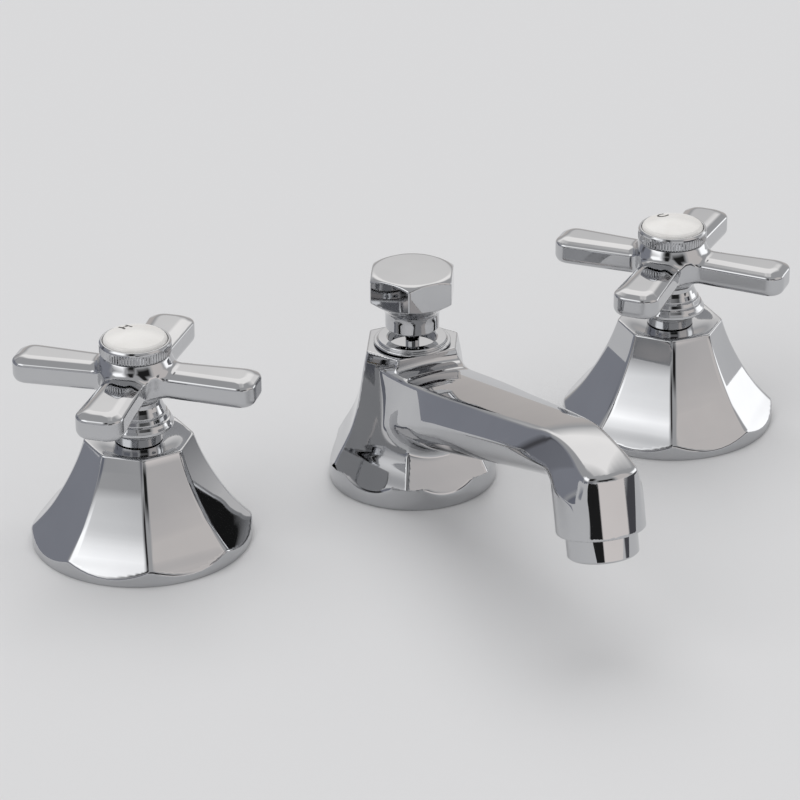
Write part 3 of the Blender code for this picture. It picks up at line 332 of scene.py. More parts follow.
def lathe(name, profile, radius, closed=True, columns=128, place=Matrix(), shape=None):
    """Turn a profile of (radius, z) about Z. It runs down the outside, top to bottom."""
    angles = 2 * math.pi * np.arange(columns) / columns
    rings, normals = [], []
    for (r, z), (normal_r, normal_z) in rounded(profile, radius, closed):
        if r < ON_AXIS:
            rings.append([[0.0, 0.0, z]])
            normals.append([[0.0, 0.0, math.copysign(1.0, normal_z)]])
        else:
            rings.append(circle(r, z, angles))
            normals.append(circle(normal_r, normal_z, angles))
    faces = stitch(rings, closed)
    points, normals = np.concatenate(rings), np.concatenate(normals)
    if shape:
        return to_object(name, shape(points), faces, None, place)
    return to_object(name, points, faces, normals, place)


# Escutcheon: eight facets that flare out to a round base, with a shallow dish in the top

ESC_SIDES = 8
# The angle of half a side, and of the first corner
ESC_HALF = math.pi / ESC_SIDES
ESC_INRADIUS = math.cos(ESC_HALF)
ESC_TOP_Z = 37.3
ESC_BASE = 37.1
# The radius of the corners, by height
ESC_CORNERS = spline((
    (-4.0, 46.5), (2.0, 40.9), (4.5, 38.4), (7.9, 34.95), (12.3, 31.05), (17.8, 27.35),
    (24.0, 23.85), (31.0, 20.65), (37.3, 18.5), (42.0, 17.4),
))
DISH_FLOOR, DISH_RIM = 9.8, 15.9
DISH_Z, DISH_DEPTH = 36.3, 1.0

# Where the columns of points lie, as shares of half a side from each corner
CORNER_SHARES = (0.0, 0.008, 0.016, 0.026, 0.04, 0.06, 0.09, 0.14, 0.22, 0.36, 0.55, 0.78, 1.0)
# Where the rings start, before they settle on the field: in the dish, on the flat top, as
# shares of the way from the dish to the edge, and down the side
DISH_RADII = (
    6.5, 7.4, 8.4, 9.2, 9.5, 9.7, 9.9, 10.2, 10.8, 12.0, 13.5, 14.6, 15.3, 15.6, 15.8,
)
DISH_START_Z = 37.0
TOP_SHARES = (0.12, 0.35, 0.65, 0.85, 0.93, 0.97)
TOP_CORNER = 18.5
SIDE_HEIGHTS = (
    37.2, 37.05, 36.9, 36.7, *np.linspace(36.3, 12.0, 44), *np.linspace(11.7, 1.2, 60),
    0.8, 0.5, 0.3, 0.15, 0.05,
)
# The hollow inside, from the base up to the hole: (radius, z) and its normal
DOWN, INWARD, SLANTED = (0.0, -1.0), (-1.0, 0.0), (-0.7, -0.7)
HOLLOW = (
    ((36.6, 0.0), DOWN), ((34.8, 0.0), DOWN), ((34.6, 0.4), INWARD), ((34.0, 5.0), SLANTED),
    ((27.0, 10.5), SLANTED), ((22.0, 17.0), SLANTED), ((18.5, 24.0), SLANTED),
    ((15.5, 32.0), SLANTED), ((14.0, 34.3), SLANTED), ((8.0, 34.3), DOWN),
    ((6.5, 34.6), INWARD), ((6.5, 36.0), INWARD),
)


def escutcheon_field(x, y, z):
    flare = facet_distance(
        x, y, z, ESC_SIDES, ESC_HALF, lambda height: ESC_INRADIUS * ESC_CORNERS(height), 0.8)
    around = np.hypot(x, y)
    body = smooth_max(flare, around - ESC_BASE, 0.6)
    body = smooth_max(body, z - ESC_TOP_Z, 0.6)
    body = smooth_max(body, -z, 0.3)
    run = (DISH_RIM - DISH_FLOOR) / DISH_DEPTH
    wall = ((around - DISH_FLOOR) / run - (z - DISH_Z)) / math.sqrt(1 + 1 / run ** 2)
    dish = smooth_max(wall, DISH_Z - z, 0.4)
    return smooth_max(body, -dish, 0.35)


def escutcheon_angles():
    """Angles all round, close together at the corners and wide apart on the flats."""
    offsets = sorted({sign * ESC_HALF * share for share in CORNER_SHARES for sign in (-1, 1)})
    return np.array([
        ESC_HALF + 2 * ESC_HALF * i + offset for i in range(ESC_SIDES) for offset in offsets[:-1]
    ])


def escutcheon_rings(angles):
    """Rings of points near the escutcheon's skin, from the hole out and down to the base."""
    flats = ESC_INRADIUS / np.cos((angles + ESC_HALF) % (2 * ESC_HALF) - ESC_HALF)
    edge = TOP_CORNER * flats
    rings = [circle(r, DISH_START_Z, angles) for r in DISH_RADII]
    for share in TOP_SHARES:
        rings.append(circle(DISH_RIM + share * (edge - DISH_RIM), ESC_TOP_Z, angles))
    for z in SIDE_HEIGHTS:
        rings.append(circle(np.minimum(ESC_CORNERS(z) * flats, ESC_BASE), z, angles))
    return rings


def escutcheon_mesh():
    """Points, faces and normals of the escutcheon: its skin, and the hollow inside it."""
    angles = escutcheon_angles()
    skin = escutcheon_rings(angles)
    hollow = [circle(*spot, angles) for spot, _ in HOLLOW]
    points, normals = settle(escutcheon_field, np.concatenate(skin), rounds=6)
    points = np.concatenate([points, *hollow])
    normals = np.concatenate([normals, *(circle(*normal, angles) for _, normal in HOLLOW)])
    return points, stitch(skin + hollow, closed=True), normals


# Cross handle: four arms that widen outward, with bevelled tops and undersides, round a bell

CROSS_LOW, CROSS_HIGH, CROSS_STEP = (-43.0, -43.0, 51.6), (43.0, 43.0, 68.8), 0.4
# Half an arm's width at the hub, and how it grows outward
CROSS_HALF = 6.4
CROSS_SPREAD = (8.2 - 6.4) / 38.8
CROSS_TIP = 42.1
# The bevel at the tip's corners is where the ways along and across add up to this
CROSS_CORNER = 47.0
# The top's bevel starts at this height, and rises so much on a run inward
EAVES_Z, EAVES_RISE, EAVES_RUN = 62.6, 1.75, 3.2
CROSS_TOP_Z = 64.35
# The underside's bevel ends at this height on the side
CROSS_FOOT_Z, CROSS_UNDER_Z = 56.5, 55.3
# The bell's radius by height, and where it is cut off
BELL = spline((
    (50.0, 7.6), (52.25, 8.4), (53.4, 9.3), (54.8, 11.0), (56.4, 12.7), (57.8, 13.1),
    (62.0, 13.15), (64.0, 13.0), (65.4, 12.6), (66.6, 12.1), (67.6, 11.6), (68.3, 11.2),
    (70.0, 10.6),
))
BELL_TOP_Z, BELL_UNDER_Z = 68.15, 52.25


def arm_field(a, b, z):
    """One arm, with a along it and b across."""
    side = (b - CROSS_HALF - CROSS_SPREAD * a) / math.sqrt(1 + CROSS_SPREAD * CROSS_SPREAD)
    corner = (a + b - CROSS_CORNER) / ROOT_2
    plan = largest(1.6, side, corner, a - CROSS_TIP)
    roof = (plan * EAVES_RISE + (z - EAVES_Z) * EAVES_RUN) / math.hypot(EAVES_RISE, EAVES_RUN)
    foot = (plan - (z - CROSS_FOOT_Z)) / ROOT_2
    upper = largest(0.7, plan, roof, z - CROSS_TOP_Z)
    lower = smooth_max(upper, foot, 1.0)
    return smooth_max(lower, CROSS_UNDER_Z - z, 0.8)


def handle_field(x, y, z):
    turned_x, turned_y = np.abs(x + y) / ROOT_2, np.abs(y - x) / ROOT_2
    arms = smooth_min(arm_field(turned_x, turned_y, z), arm_field(turned_y, turned_x, z), 1.2)
    bell = smooth_max(np.hypot(x, y) - BELL(z), z - BELL_TOP_Z, 0.4)
    bell = smooth_max(bell, BELL_UNDER_Z - z, 0.5)
    return smooth_min(arms, bell, 2.0)


# Spout: a six-sided foot, an arm and a round nose. Forward is the way in front of the axis

SPOUT_LOW, SPOUT_HIGH, SPOUT_STEP = (-30.0, -150.0, -0.6), (30.0, 30.0, 71.0), 0.6
HEX = math.cos(math.pi / 6)
SPOUT_TOP_Z = 50.3
SPOUT_BASE = 28.9
# The radius of the foot's corners, by height
FOOT_CORNERS = spline((
    (-3.0, 37.5), (0.0, 35.0), (5.0, 33.2), (9.0, 30.9), (13.1, 28.6), (17.1, 26.2),
    (21.1, 24.1), (25.4, 22.5), (29.2, 21.35), (33.2, 20.45), (38.0, 19.65), (43.7, 18.75),
    (50.3, 17.35), (55.0, 16.3),
))

# The arm, by the way forward: the height and half the width of its top, half its width and
# its height where it is widest, and the height of its underside
ARM_TOP = spline(((0.0, 42.05), (50.0, 54.09), (104.0, 67.09)))
TOP_HALF = spline((
    (4.0, 12.9), (19.0, 12.0), (46.3, 11.7), (66.8, 10.4), (87.3, 9.5), (106.3, 8.1),
    (120.0, 7.4),
))
WIDE_HALF = spline((
    (4.0, 11.5), (8.4, 12.4), (14.5, 15.0), (28.0, 16.4), (47.0, 16.0), (85.0, 14.7),
    (107.0, 14.35),
))
WIDE_Z = spline((
    (4.0, 25.0), (8.4, 26.4), (14.5, 29.4), (28.0, 35.0), (47.0, 42.4), (85.0, 54.5),
    (107.0, 60.7),
))
UNDER_Z = spline(((0.0, 12.5), (79.0, 39.5), (98.0, 46.0), (120.0, 53.5)))
ARM_SLOPE = math.radians(13.54)
ARM_START = 4.0
# The arm ends inside the nose, this far in front of the nose's axis
ARM_END = 4.0

# The arc along the crown: its centre forward and up, its radius, and where the top meets it
CROWN_F, CROWN_Z, CROWN_R = 120.09, 10.06, 59.2
CROWN_START = CROWN_F - CROWN_R * math.sin(ARM_SLOPE)
# How the top is rounded across, and how much more the crown is, from here on over a stretch
TOP_CURVE, CROWN_CURVE = 1 / 150.0, 1 / 64.0
CURVE_START, CURVE_STRETCH = 116.0, 24.0

# The nose: the middle of its rim, its tilt, its radius and its height
NOSE_F, NOSE_Z = 133.4, 41.5
NOSE_TILT = math.radians(13.0)
NOSE_R = 14.35
NOSE_HEIGHT = 30.0

# The bevel's plane over the bend, as shares of the ways across, forward and up, and where the
# bevel starts
BEVEL_PLANE, BEVEL_OFFSET = (0.867, 0.041, 0.497), 45.95
BEVEL_START = 80.0
# Its borders on the nose, as angles from the front: one edge is straight, and the other
# draws in towards it from the bend down to the rim, by (height above the rim, degrees)
BEVEL_EDGE = math.radians(44.0)
BEVEL_BORDER = spline((
    (2.0, 44.0), (5.0, 49.0), (11.8, 64.0), (15.2, 79.5), (19.0, 100.0), (24.0, 112.0),
))
BORDER_LOW, BORDER_HIGH = 2.0, 24.0

# Where the foot gives way to the arm's top: from here forward, down to this far under it
RELIEF_F, RELIEF_DEPTH = 11.2, 2.0
ROOT_BLEND = 5.0
PLATE_END = 24.0
# The round base is upright to this height, and its limit opens out above it
BASE_Z, BASE_SPREAD = 8.0, 4.0


def roof_distance(x, forward, z):
    """Distance above the arm's straight top and the crown's arc, which is tangent to it."""
    straight = (z - ARM_TOP(forward)) * math.cos(ARM_SLOPE)
    crown = np.hypot(forward - CROWN_F, z - CROWN_Z) - CROWN_R
    share = np.clip((forward - CURVE_START) / CURVE_STRETCH, 0.0, 1.0)
    across = x * x * (TOP_CURVE + share * share * (3 - 2 * share) * CROWN_CURVE)
    return np.where(forward < CROWN_START, straight, crown) + across


def arm_hull(x, forward, z):
    """Distance outside the arm's sides, which slope in to the top, and its round underside."""
    half, wide = TOP_HALF(forward), WIDE_HALF(forward)
    top, height = ARM_TOP(forward), WIDE_Z(forward)
    across = np.abs(x)
    # The limits below keep places beyond the arm's ends from dividing by zero
    drop = np.maximum(top - height, 1.0)
    spread = wide - half
    side = ((across - half) * drop - (top - z) * spread) / np.hypot(drop, spread)
    depth = np.maximum(height - UNDER_Z(forward), 1.0)
    u, v = across / wide, np.minimum(z - height, 0.0) / depth
    rho = np.sqrt(u * u + v * v) + TINY
    steep = np.sqrt((u / wide) ** 2 + (v / depth) ** 2) / rho
    hull = (rho - 1.0) / np.maximum(steep, 1e-3)
    return smooth_max(side, hull, 0.5)


def nose_axes(forward, z):
    """Height along the nose from its rim, and distance from its axis towards the front."""
    df, dz = forward - NOSE_F, z - NOSE_Z
    along = dz * math.cos(NOSE_TILT) - df * math.sin(NOSE_TILT)
    front = df * math.cos(NOSE_TILT) + dz * math.sin(NOSE_TILT)
    return along, front


def bend_bevel(across, forward, z, along, front):
    """The bevel between top and side, which goes on round the bend and tapers on the nose."""
    a, b, c = BEVEL_PLANE
    over_bend = a * across + b * forward + c * z - BEVEL_OFFSET
    border = np.radians(BEVEL_BORDER(np.clip(along, BORDER_LOW, BORDER_HIGH)))
    middle, half = (border + BEVEL_EDGE) / 2, (border - BEVEL_EDGE) / 2
    on_nose = across * np.sin(middle) + front * np.cos(middle) - NOSE_R * np.cos(half)
    bevel = smooth_max(over_bend, on_nose, 2.0)
    return np.where(forward > BEVEL_START, bevel, NO_LIMIT)


def spout_arm_field(x, forward, z):
    """The arm and the nose."""
    along, front = nose_axes(forward, z)
    arm = smooth_max(arm_hull(x, forward, z), front - ARM_END, 0.4)
    nose = smooth_max(np.hypot(x, front) - NOSE_R, -along, 0.8)
    nose = smooth_max(nose, along - NOSE_HEIGHT, 0.3)
    joined = smooth_min(arm, nose, 3.5)
    joined = smooth_max(joined, roof_distance(x, forward, z), 1.0)
    # Crisp on the nose, soft where the arm's side runs into the bend
    soft = 0.3 + 0.9 * np.clip((along - 14.0) / 8.0, 0.0, 1.0)
    joined = smooth_max(joined, bend_bevel(np.abs(x), forward, z, along, front), soft)
    return smooth_max(joined, ARM_START - forward, 0.3)


def spout_field(x, y, z):
    forward, around = -y, np.hypot(x, y)
    foot = facet_distance(x, y, z, 6, 0.0, lambda height: HEX * FOOT_CORNERS(height), 0.7)
    foot = smooth_max(foot, z - SPOUT_TOP_Z, 0.4)
    relief = smooth_max(RELIEF_F - forward, ARM_TOP(forward) - RELIEF_DEPTH - z, 5.0)
    foot = smooth_max(foot, -relief, 0.5)
    body = smooth_min(foot, spout_arm_field(x, forward, z), ROOT_BLEND)
    # The blend must not lift the top plate, nor swell the round base
    plate = np.where(forward < PLATE_END, z - SPOUT_TOP_Z, NO_LIMIT)
    body = smooth_max(body, plate, 0.4)
    base = around - SPOUT_BASE - np.maximum(z - BASE_Z, 0.0) * BASE_SPREAD
    body = smooth_max(body, base, 0.6)
    return smooth_max(body, -z, 0.3)


# Lift knob: a hexagonal head on a flared neck. Its cones run from one (radius, z) to another

KNOB_LOW, KNOB_HIGH, KNOB_STEP = (-17.0, -17.0, 55.5), (17.0, 17.0, 78.0), 0.4
HEX_CORNER = 15.9
KNOB_TOP_Z, HEAD_UNDER_Z = 77.2, 66.3
TOP_CHAMFER = ((13.6, 77.2), (HEX_CORNER, 75.8))
UNDER_CHAMFER = ((13.2, 66.3), (HEX_CORNER, 67.9))
NECK_FLARE = ((8.6, 62.3), (13.3, 66.3))
FLARE_R, NECK_R = 13.3, 9.2
NECK_TOP_Z, NECK_FOOT_Z = 67.0, 56.2


def knob_field(x, y, z):
    around = np.hypot(x, y)
    head = facet_distance(x, y, z, 6, 0.0, lambda height: HEX * HEX_CORNER, 0.35)
    head = largest(0.45, head, z - KNOB_TOP_Z, cone(around, z, *TOP_CHAMFER))
    head = smooth_max(head, -cone(around, z, *UNDER_CHAMFER), 0.4)
    head = smooth_max(head, HEAD_UNDER_Z - z, 0.3)
    flare = largest(0.4, -cone(around, z, *NECK_FLARE), around - FLARE_R, z - NECK_TOP_Z)
    neck = largest(0.7, around - NECK_R, NECK_FOOT_Z - z, z - NECK_TOP_Z)
    return smooth_min(smooth_min(flare, neck, 2.2), head, 0.35)


# Small turned pieces, as (radius, z) profiles that run down the outside

BONNET = (
    (8.4, 41.55), (8.8, 41.25), (8.35, 40.9), (8.8, 40.6), (8.35, 40.25), (8.8, 39.95),
    (8.3, 39.6), (8.0, 39.45), (8.0, 36.6), (6.5, 36.6), (6.5, 41.55),
)
SKIRT = (
    (8.0, 51.95), (8.05, 50.4), (8.6, 49.0), (9.3, 47.6), (9.3, 47.2), (9.9, 46.8),
    (10.3, 45.6), (10.3, 45.2), (10.9, 44.9), (11.4, 43.9), (11.9, 43.15), (11.9, 42.2),
    (11.5, 41.85), (4.1, 41.85), (4.1, 51.95),
)
CAP_RING = (
    (10.85, 72.6), (11.0, 73.0), (11.45, 72.95), (11.95, 72.35), (12.0, 71.8), (12.0, 71.45),
    (12.0, 70.0), (12.0, 68.85), (11.7, 68.45), (9.5, 68.45), (9.5, 71.1), (10.85, 71.15),
)
GUIDE = (
    (8.2, 52.0), (8.8, 52.4), (11.6, 52.4), (12.0, 52.0), (12.0, 51.4), (13.0, 51.4),
    (13.2, 51.1), (13.2, 50.6), (9.5, 50.6), (9.5, 43.0), (2.7, 43.0), (2.7, 47.4), (8.2, 47.4),
)
AERATOR = (
    (10.2, 4.8), (10.2, -0.3), (11.5, -0.3), (11.5, -7.6), (10.9, -8.2), (7.8, -8.2),
    (7.8, -7.0), (8.6, -7.0), (8.6, 4.8),
)

# The cap ring's teeth: their number and depth, and the part of its side that they cover
TEETH = 72
TOOTH_DEPTH = 0.38
TOOTH_COLUMNS = 6
TOOTH_R, TOOTH_LOW_Z, TOOTH_HIGH_Z = 11.9, 68.7, 71.6

# The button: its face's height and curve, the face's radius and steps, and the profile outside
BUTTON_TOP, BUTTON_CURVE = 75.75, 27.0
FACE_R, FACE_STEPS = 8.9, 9
BUTTON_RIM = [
    (9.7, 74.0), (10.3, 73.55), (10.7, 72.9), (10.75, 72.4), (10.75, 71.45), (0.0, 71.45),
]

# The letters: size, way out from the middle, thickness, boldness, height over the face, and
# their turn about the button's axis
LETTER_SIZE, LETTER_OUT = 5.6, 5.6
LETTER_THICK, LETTER_BOLD, LETTER_LIFT = 0.04, 0.02, 0.06
LETTER_TURN = math.radians(10.0)


def knurl(points):
    """Cut teeth into the cap ring's side."""
    x, y, z = points.T
    around = np.hypot(x, y)
    on_side = (around > TOOTH_R) & (z > TOOTH_LOW_Z) & (z < TOOTH_HIGH_Z)
    wave = 0.5 + 0.5 * np.cos(TEETH * np.arctan2(y, x))
    scale = np.where(on_side, 1 - TOOTH_DEPTH * wave / around, 1.0)
    return points * np.stack([scale, scale, np.ones_like(scale)], 1)


def dome(around):
    """Height of the button's face, a low dome."""
    return BUTTON_TOP - around ** 2 / (2 * BUTTON_CURVE)


def make_button(name, place):
    face = [(r, dome(r)) for r in np.linspace(0.0, FACE_R, FACE_STEPS)]
    return lathe(name, face + BUTTON_RIM, 0.8, closed=False, place=place)


def letter_mesh(name, text):
    """A thin letter about the origin, in millimetres."""
    curve = bpy.data.curves.new(name + "_outline", "FONT")
    curve.body = text
    curve.size = LETTER_SIZE
    curve.extrude = LETTER_THICK
    curve.offset = LETTER_BOLD
    curve.align_x = "CENTER"
    curve.align_y = "CENTER"
    source = new_object(name + "_outline", curve)
    bpy.context.view_layer.update()
    depsgraph = bpy.context.evaluated_depsgraph_get()
    mesh = bpy.data.meshes.new_from_object(source.evaluated_get(depsgraph))
    bpy.data.objects.remove(source)
    return mesh


def make_letter(name, text, place, turn):
    """A generic letter printed on the button, near its rim."""
    mesh = letter_mesh(name, text)
    spin = Matrix.Rotation(turn, 4, "Z") @ Matrix.Translation((0.0, LETTER_OUT, 0.0))
    for vertex in mesh.vertices:
        spot = spin @ vertex.co
        spot.z += dome(math.hypot(spot.x, spot.y)) + LETTER_LIFT
        vertex.co = spot * MM
    mesh.name = name
    mesh.transform(place)
    return new_object(name, mesh)


# Materials

EVEN = (1, 1, 1)
# Slot: metallic, darker and lighter colour, smoother and rougher, noise scale and stretch, bump
FINISHES = {
    "polished_chrome": (
        1.0, (0.530, 0.536, 0.550), (0.570, 0.576, 0.588), 0.015, 0.045, 45, EVEN, 0.0),
    "porcelain": (
        0.0, (0.80, 0.785, 0.76), (0.84, 0.83, 0.81), 0.08, 0.16, 160, EVEN, 0.00001),
    "raw_brass": (
        1.0, (0.62, 0.45, 0.20), (0.78, 0.61, 0.33), 0.22, 0.42, 260, (0.2, 0.2, 4), 0.00004),
    "ceramic": (
        0.0, (0.86, 0.85, 0.82), (0.91, 0.91, 0.89), 0.18, 0.30, 300, EVEN, 0.00001),
    "black_rubber": (
        0.0, (0.022, 0.022, 0.022), (0.045, 0.044, 0.042), 0.60, 0.85, 900, EVEN, 0.00005),
    "steel": (
        1.0, (0.52, 0.52, 0.53), (0.64, 0.64, 0.65), 0.20, 0.36, 500, (0.2, 0.2, 5), 0.00003),
    "white_plastic": (
        0.0, (0.79, 0.79, 0.77), (0.85, 0.85, 0.83), 0.28, 0.42, 700, EVEN, 0.00003),
}
# The noise that varies roughness is finer than the one for colour and bump
FINER = 2.3
INK_DARK, INK_LIGHT = (0.010, 0.010, 0.011), (0.028, 0.027, 0.027)
INK_SCALE, INK_ROUGHNESS = 2500.0, 0.35
# A noise mostly lies between these
NOISE_LOW, NOISE_HIGH = 0.3, 0.7
# The sockets of a Mix node that hold colours
MIX_A, MIX_B, MIX_RESULT = 6, 7, 2


def shader_of(name):
    """A new material, its node tree and its shader."""
    material = bpy.data.materials.new(name)
    material.use_nodes = True
    tree = material.node_tree
    return material, tree, tree.nodes["Principled BSDF"]


def noise(tree, scale, detail=4.0, stretch=EVEN):
    coordinates = tree.nodes.new("ShaderNodeTexCoord")
    mapping = tree.nodes.new("ShaderNodeMapping")
    mapping.inputs["Scale"].default_value = stretch
    texture = tree.nodes.new("ShaderNodeTexNoise")
    texture.inputs["Scale"].default_value = scale
    texture.inputs["Detail"].default_value = detail
    tree.links.new(coordinates.outputs["Object"], mapping.inputs["Vector"])
    tree.links.new(mapping.outputs["Vector"], texture.inputs["Vector"])
    return texture.outputs["Fac"]


def ramp(tree, source, low=0.0, high=1.0):
    """A noise spread from low to high."""
    node = tree.nodes.new("ShaderNodeMapRange")
    node.inputs["From Min"].default_value = NOISE_LOW
    node.inputs["From Max"].default_value = NOISE_HIGH
    node.inputs["To Min"].default_value = low
    node.inputs["To Max"].default_value = high
    tree.links.new(source, node.inputs["Value"])
    return node.outputs["Result"]


def bump(tree, shader, source, depth):
    node = tree.nodes.new("ShaderNodeBump")
    node.inputs["Strength"].default_value = 1.0
    node.inputs["Distance"].default_value = depth
    tree.links.new(source, node.inputs["Height"])
    tree.links.new(node.outputs["Normal"], shader.inputs["Normal"])


def tint(tree, shader, source, dark, light):
    """Let the shader's colour go from dark to light with a noise."""
    mix = tree.nodes.new("ShaderNodeMix")
    mix.data_type = "RGBA"
    mix.inputs[MIX_A].default_value = (*dark, 1.0)
    mix.inputs[MIX_B].default_value = (*light, 1.0)
    tree.links.new(ramp(tree, source), mix.inputs["Factor"])
    tree.links.new(mix.outputs[MIX_RESULT], shader.inputs["Base Color"])


def finish(slot):
    """The material of one of the record's slots."""
    metallic, dark, light, smooth, rough, scale, stretch, depth = FINISHES[slot]
    material, tree, shader = shader_of(slot)
    shader.inputs["Metallic"].default_value = metallic
    cloud = noise(tree, scale, 5.0, stretch)
    tint(tree, shader, cloud, dark, light)
    fine_cloud = noise(tree, scale * FINER, 3.0, stretch)
    tree.links.new(ramp(tree, fine_cloud, smooth, rough), shader.inputs["Roughness"])
    if depth:
        bump(tree, shader, cloud, depth)
    return material


def ink():
    material, tree, shader = shader_of("black_ink")
    tint(tree, shader, noise(tree, INK_SCALE), INK_DARK, INK_LIGHT)
    shader.inputs["Roughness"].default_value = INK_ROUGHNESS
    return material


def dress(obj, material):
    obj.data.materials.clear()
    obj.data.materials.append(material)


# Stage. The camera has its place in metres, its turn from +Y towards +X, how far it looks
# down, its roll, and its focal length in pixels of the frame

CAMERA_PLACE = (-0.5312, -1.0713, 0.6197)
YAW, PITCH, ROLL = math.radians(26.17), math.radians(26.33), math.radians(-0.24)
FOCAL_PIXELS, FRAME_PIXELS, SENSOR = 3879.0, 800.0, 36.0
FAR = 20.0
WORLD_COLOUR = (0.50, 0.50, 0.505, 1.0)
FLOOR_COLOUR = (0.74, 0.74, 0.745, 1.0)
FLOOR_HALF = 20.0

# Soft suns: where each one stands, its strength and its angle in degrees. They light the
# floor evenly out to the horizon
SUNS = (
    ("back_sun", (0.35, 0.80, 1.7), 1.15, 55.0),
    ("left_sun", (-1.35, -0.2, 1.2), 0.55, 50.0),
)

BLACK, DARK, GREY = (0.02, 0.02, 0.02), (0.09, 0.09, 0.10), (0.24, 0.24, 0.26)
SLATE, DEEP_SLATE = (0.30, 0.31, 0.35), (0.20, 0.21, 0.25)
TAUPE, WARM, CREAM = (0.60, 0.565, 0.545), (0.80, 0.755, 0.73), (0.95, 0.89, 0.86)
PALE, SOFTBOX = (1.30, 1.27, 1.24), (1.75, 1.75, 1.75)
# Studio cards: azimuth from +Y towards +X and elevation in degrees, as seen from the object,
# the distance in metres, the card's shade and the width of its soft edge in degrees
CARDS = (
    ("front_strip", (146, 199), (0, 9), 0.45, CREAM, 3),
    ("front_left_strip", (194, 219), (0, 9), 0.36, BLACK, 2),
    ("right_strip", (106, 156), (0, 9), 0.30, DARK, 3),
    ("left_strip", (-124, -66), (0, 7), 0.28, SLATE, 3),
    ("back_left_strip", (-78, -22), (0, 22), 0.27, SLATE, 5),
    ("camera_flag", (160, 208), (4, 34), 1.6, BLACK, 9),
    ("front_left_flag", (-153, -121), (20, 66), 1.6, BLACK, 10),
    ("front_left_low_card", (-152, -120), (0, 20), 1.7, GREY, 8),
    ("left_low_card", (-120, -80), (0, 18), 1.6, DEEP_SLATE, 9),
    ("back_left_card", (-84, -10), (0, 36), 1.8, SLATE, 14),
    ("back_left_flag", (-48, -32), (0, 26), 1.6, DARK, 7),
    ("back_card", (-12, 66), (0, 19), 1.9, TAUPE, 9),
    ("right_card", (112, 162), (0, 58), 1.7, WARM, 10),
    ("left_softbox", (-122, -62), (16, 62), 1.9, SOFTBOX, 14),
    ("back_softbox", (-14, 68), (19, 84), 2.0, PALE, 14),
    ("right_softbox", (70, 112), (0, 24), 1.9, SOFTBOX, 9),
)
# How many steps a card has between its soft edges, along and up
CARD_COLUMNS, CARD_ROWS = 9, 5


def make_camera():
    look = Vector((
        math.sin(YAW) * math.cos(PITCH), math.cos(YAW) * math.cos(PITCH), -math.sin(PITCH)))
    level = Vector((math.cos(YAW), -math.sin(YAW), 0.0))
    upright = level.cross(look)
    right = math.cos(ROLL) * level + math.sin(ROLL) * upright
    up = math.cos(ROLL) * upright - math.sin(ROLL) * level
    camera = bpy.data.cameras.new("camera")
    camera.sensor_width = SENSOR
    camera.lens = FOCAL_PIXELS * SENSOR / FRAME_PIXELS
    camera.clip_end = FAR
    obj = new_object("camera", camera)
    place = Matrix((right, up, -look)).transposed().to_4x4()
    place.translation = CAMERA_PLACE
    obj.matrix_world = place
    bpy.context.scene.camera = obj


def make_floor():
    """A plain pale floor, the same for every ray."""
    a, b = -FLOOR_HALF, FLOOR_HALF
    mesh = bpy.data.meshes.new("floor")
    mesh.from_pydata([(a, a, 0), (b, a, 0), (b, b, 0), (a, b, 0)], [], [(0, 1, 2, 3)])
    floor = new_object("floor", mesh)
    material, _, shader = shader_of("floor")
    shader.inputs["Base Color"].default_value = FLOOR_COLOUR
    shader.inputs["Roughness"].default_value = 1.0
    shader.inputs["Specular IOR Level"].default_value = 0.0
    dress(floor, material)


def make_world():
    """A plain pale backdrop, the same for every ray."""
    world = bpy.data.worlds.new("studio")
    bpy.context.scene.world = world
    world.use_nodes = True
    world.node_tree.nodes["Background"].inputs["Color"].default_value = WORLD_COLOUR


def make_sun(name, place, strength, angle):
    """A soft sun that lights surfaces, but isn't mirrored in them."""
    light = bpy.data.lights.new(name, "SUN")
    light.energy = strength
    light.angle = math.radians(angle)
    sun = new_object(name, light)
    sun.location = place
    sun.rotation_euler = (-Vector(place)).to_track_quat("-Z", "Y").to_euler()
    sun.visible_glossy = False


def card_material(name, shade):
    """A card of one shade, whose edge fades out."""
    material = bpy.data.materials.new(name)
    material.use_nodes = True
    material.cycles.emission_sampling = "NONE"
    tree = material.node_tree
    tree.nodes.clear()
    clear = tree.nodes.new("ShaderNodeBsdfTransparent")
    glow = tree.nodes.new("ShaderNodeEmission")
    glow.inputs["Color"].default_value = (*shade, 1.0)
    fade = tree.nodes.new("ShaderNodeAttribute")
    fade.attribute_name = "fade"
    both = tree.nodes.new("ShaderNodeMixShader")
    tree.links.new(fade.outputs["Fac"], both.inputs[0])
    tree.links.new(clear.outputs[0], both.inputs[1])
    tree.links.new(glow.outputs[0], both.inputs[2])
    output = tree.nodes.new("ShaderNodeOutputMaterial")
    tree.links.new(both.outputs[0], output.inputs["Surface"])
    return material


def card_angles(span, soft, count):
    """Angles across a card: its ends, and steps between its soft edges."""
    start, end = span
    return np.radians([start, *np.linspace(start + soft, end - soft, count), end])


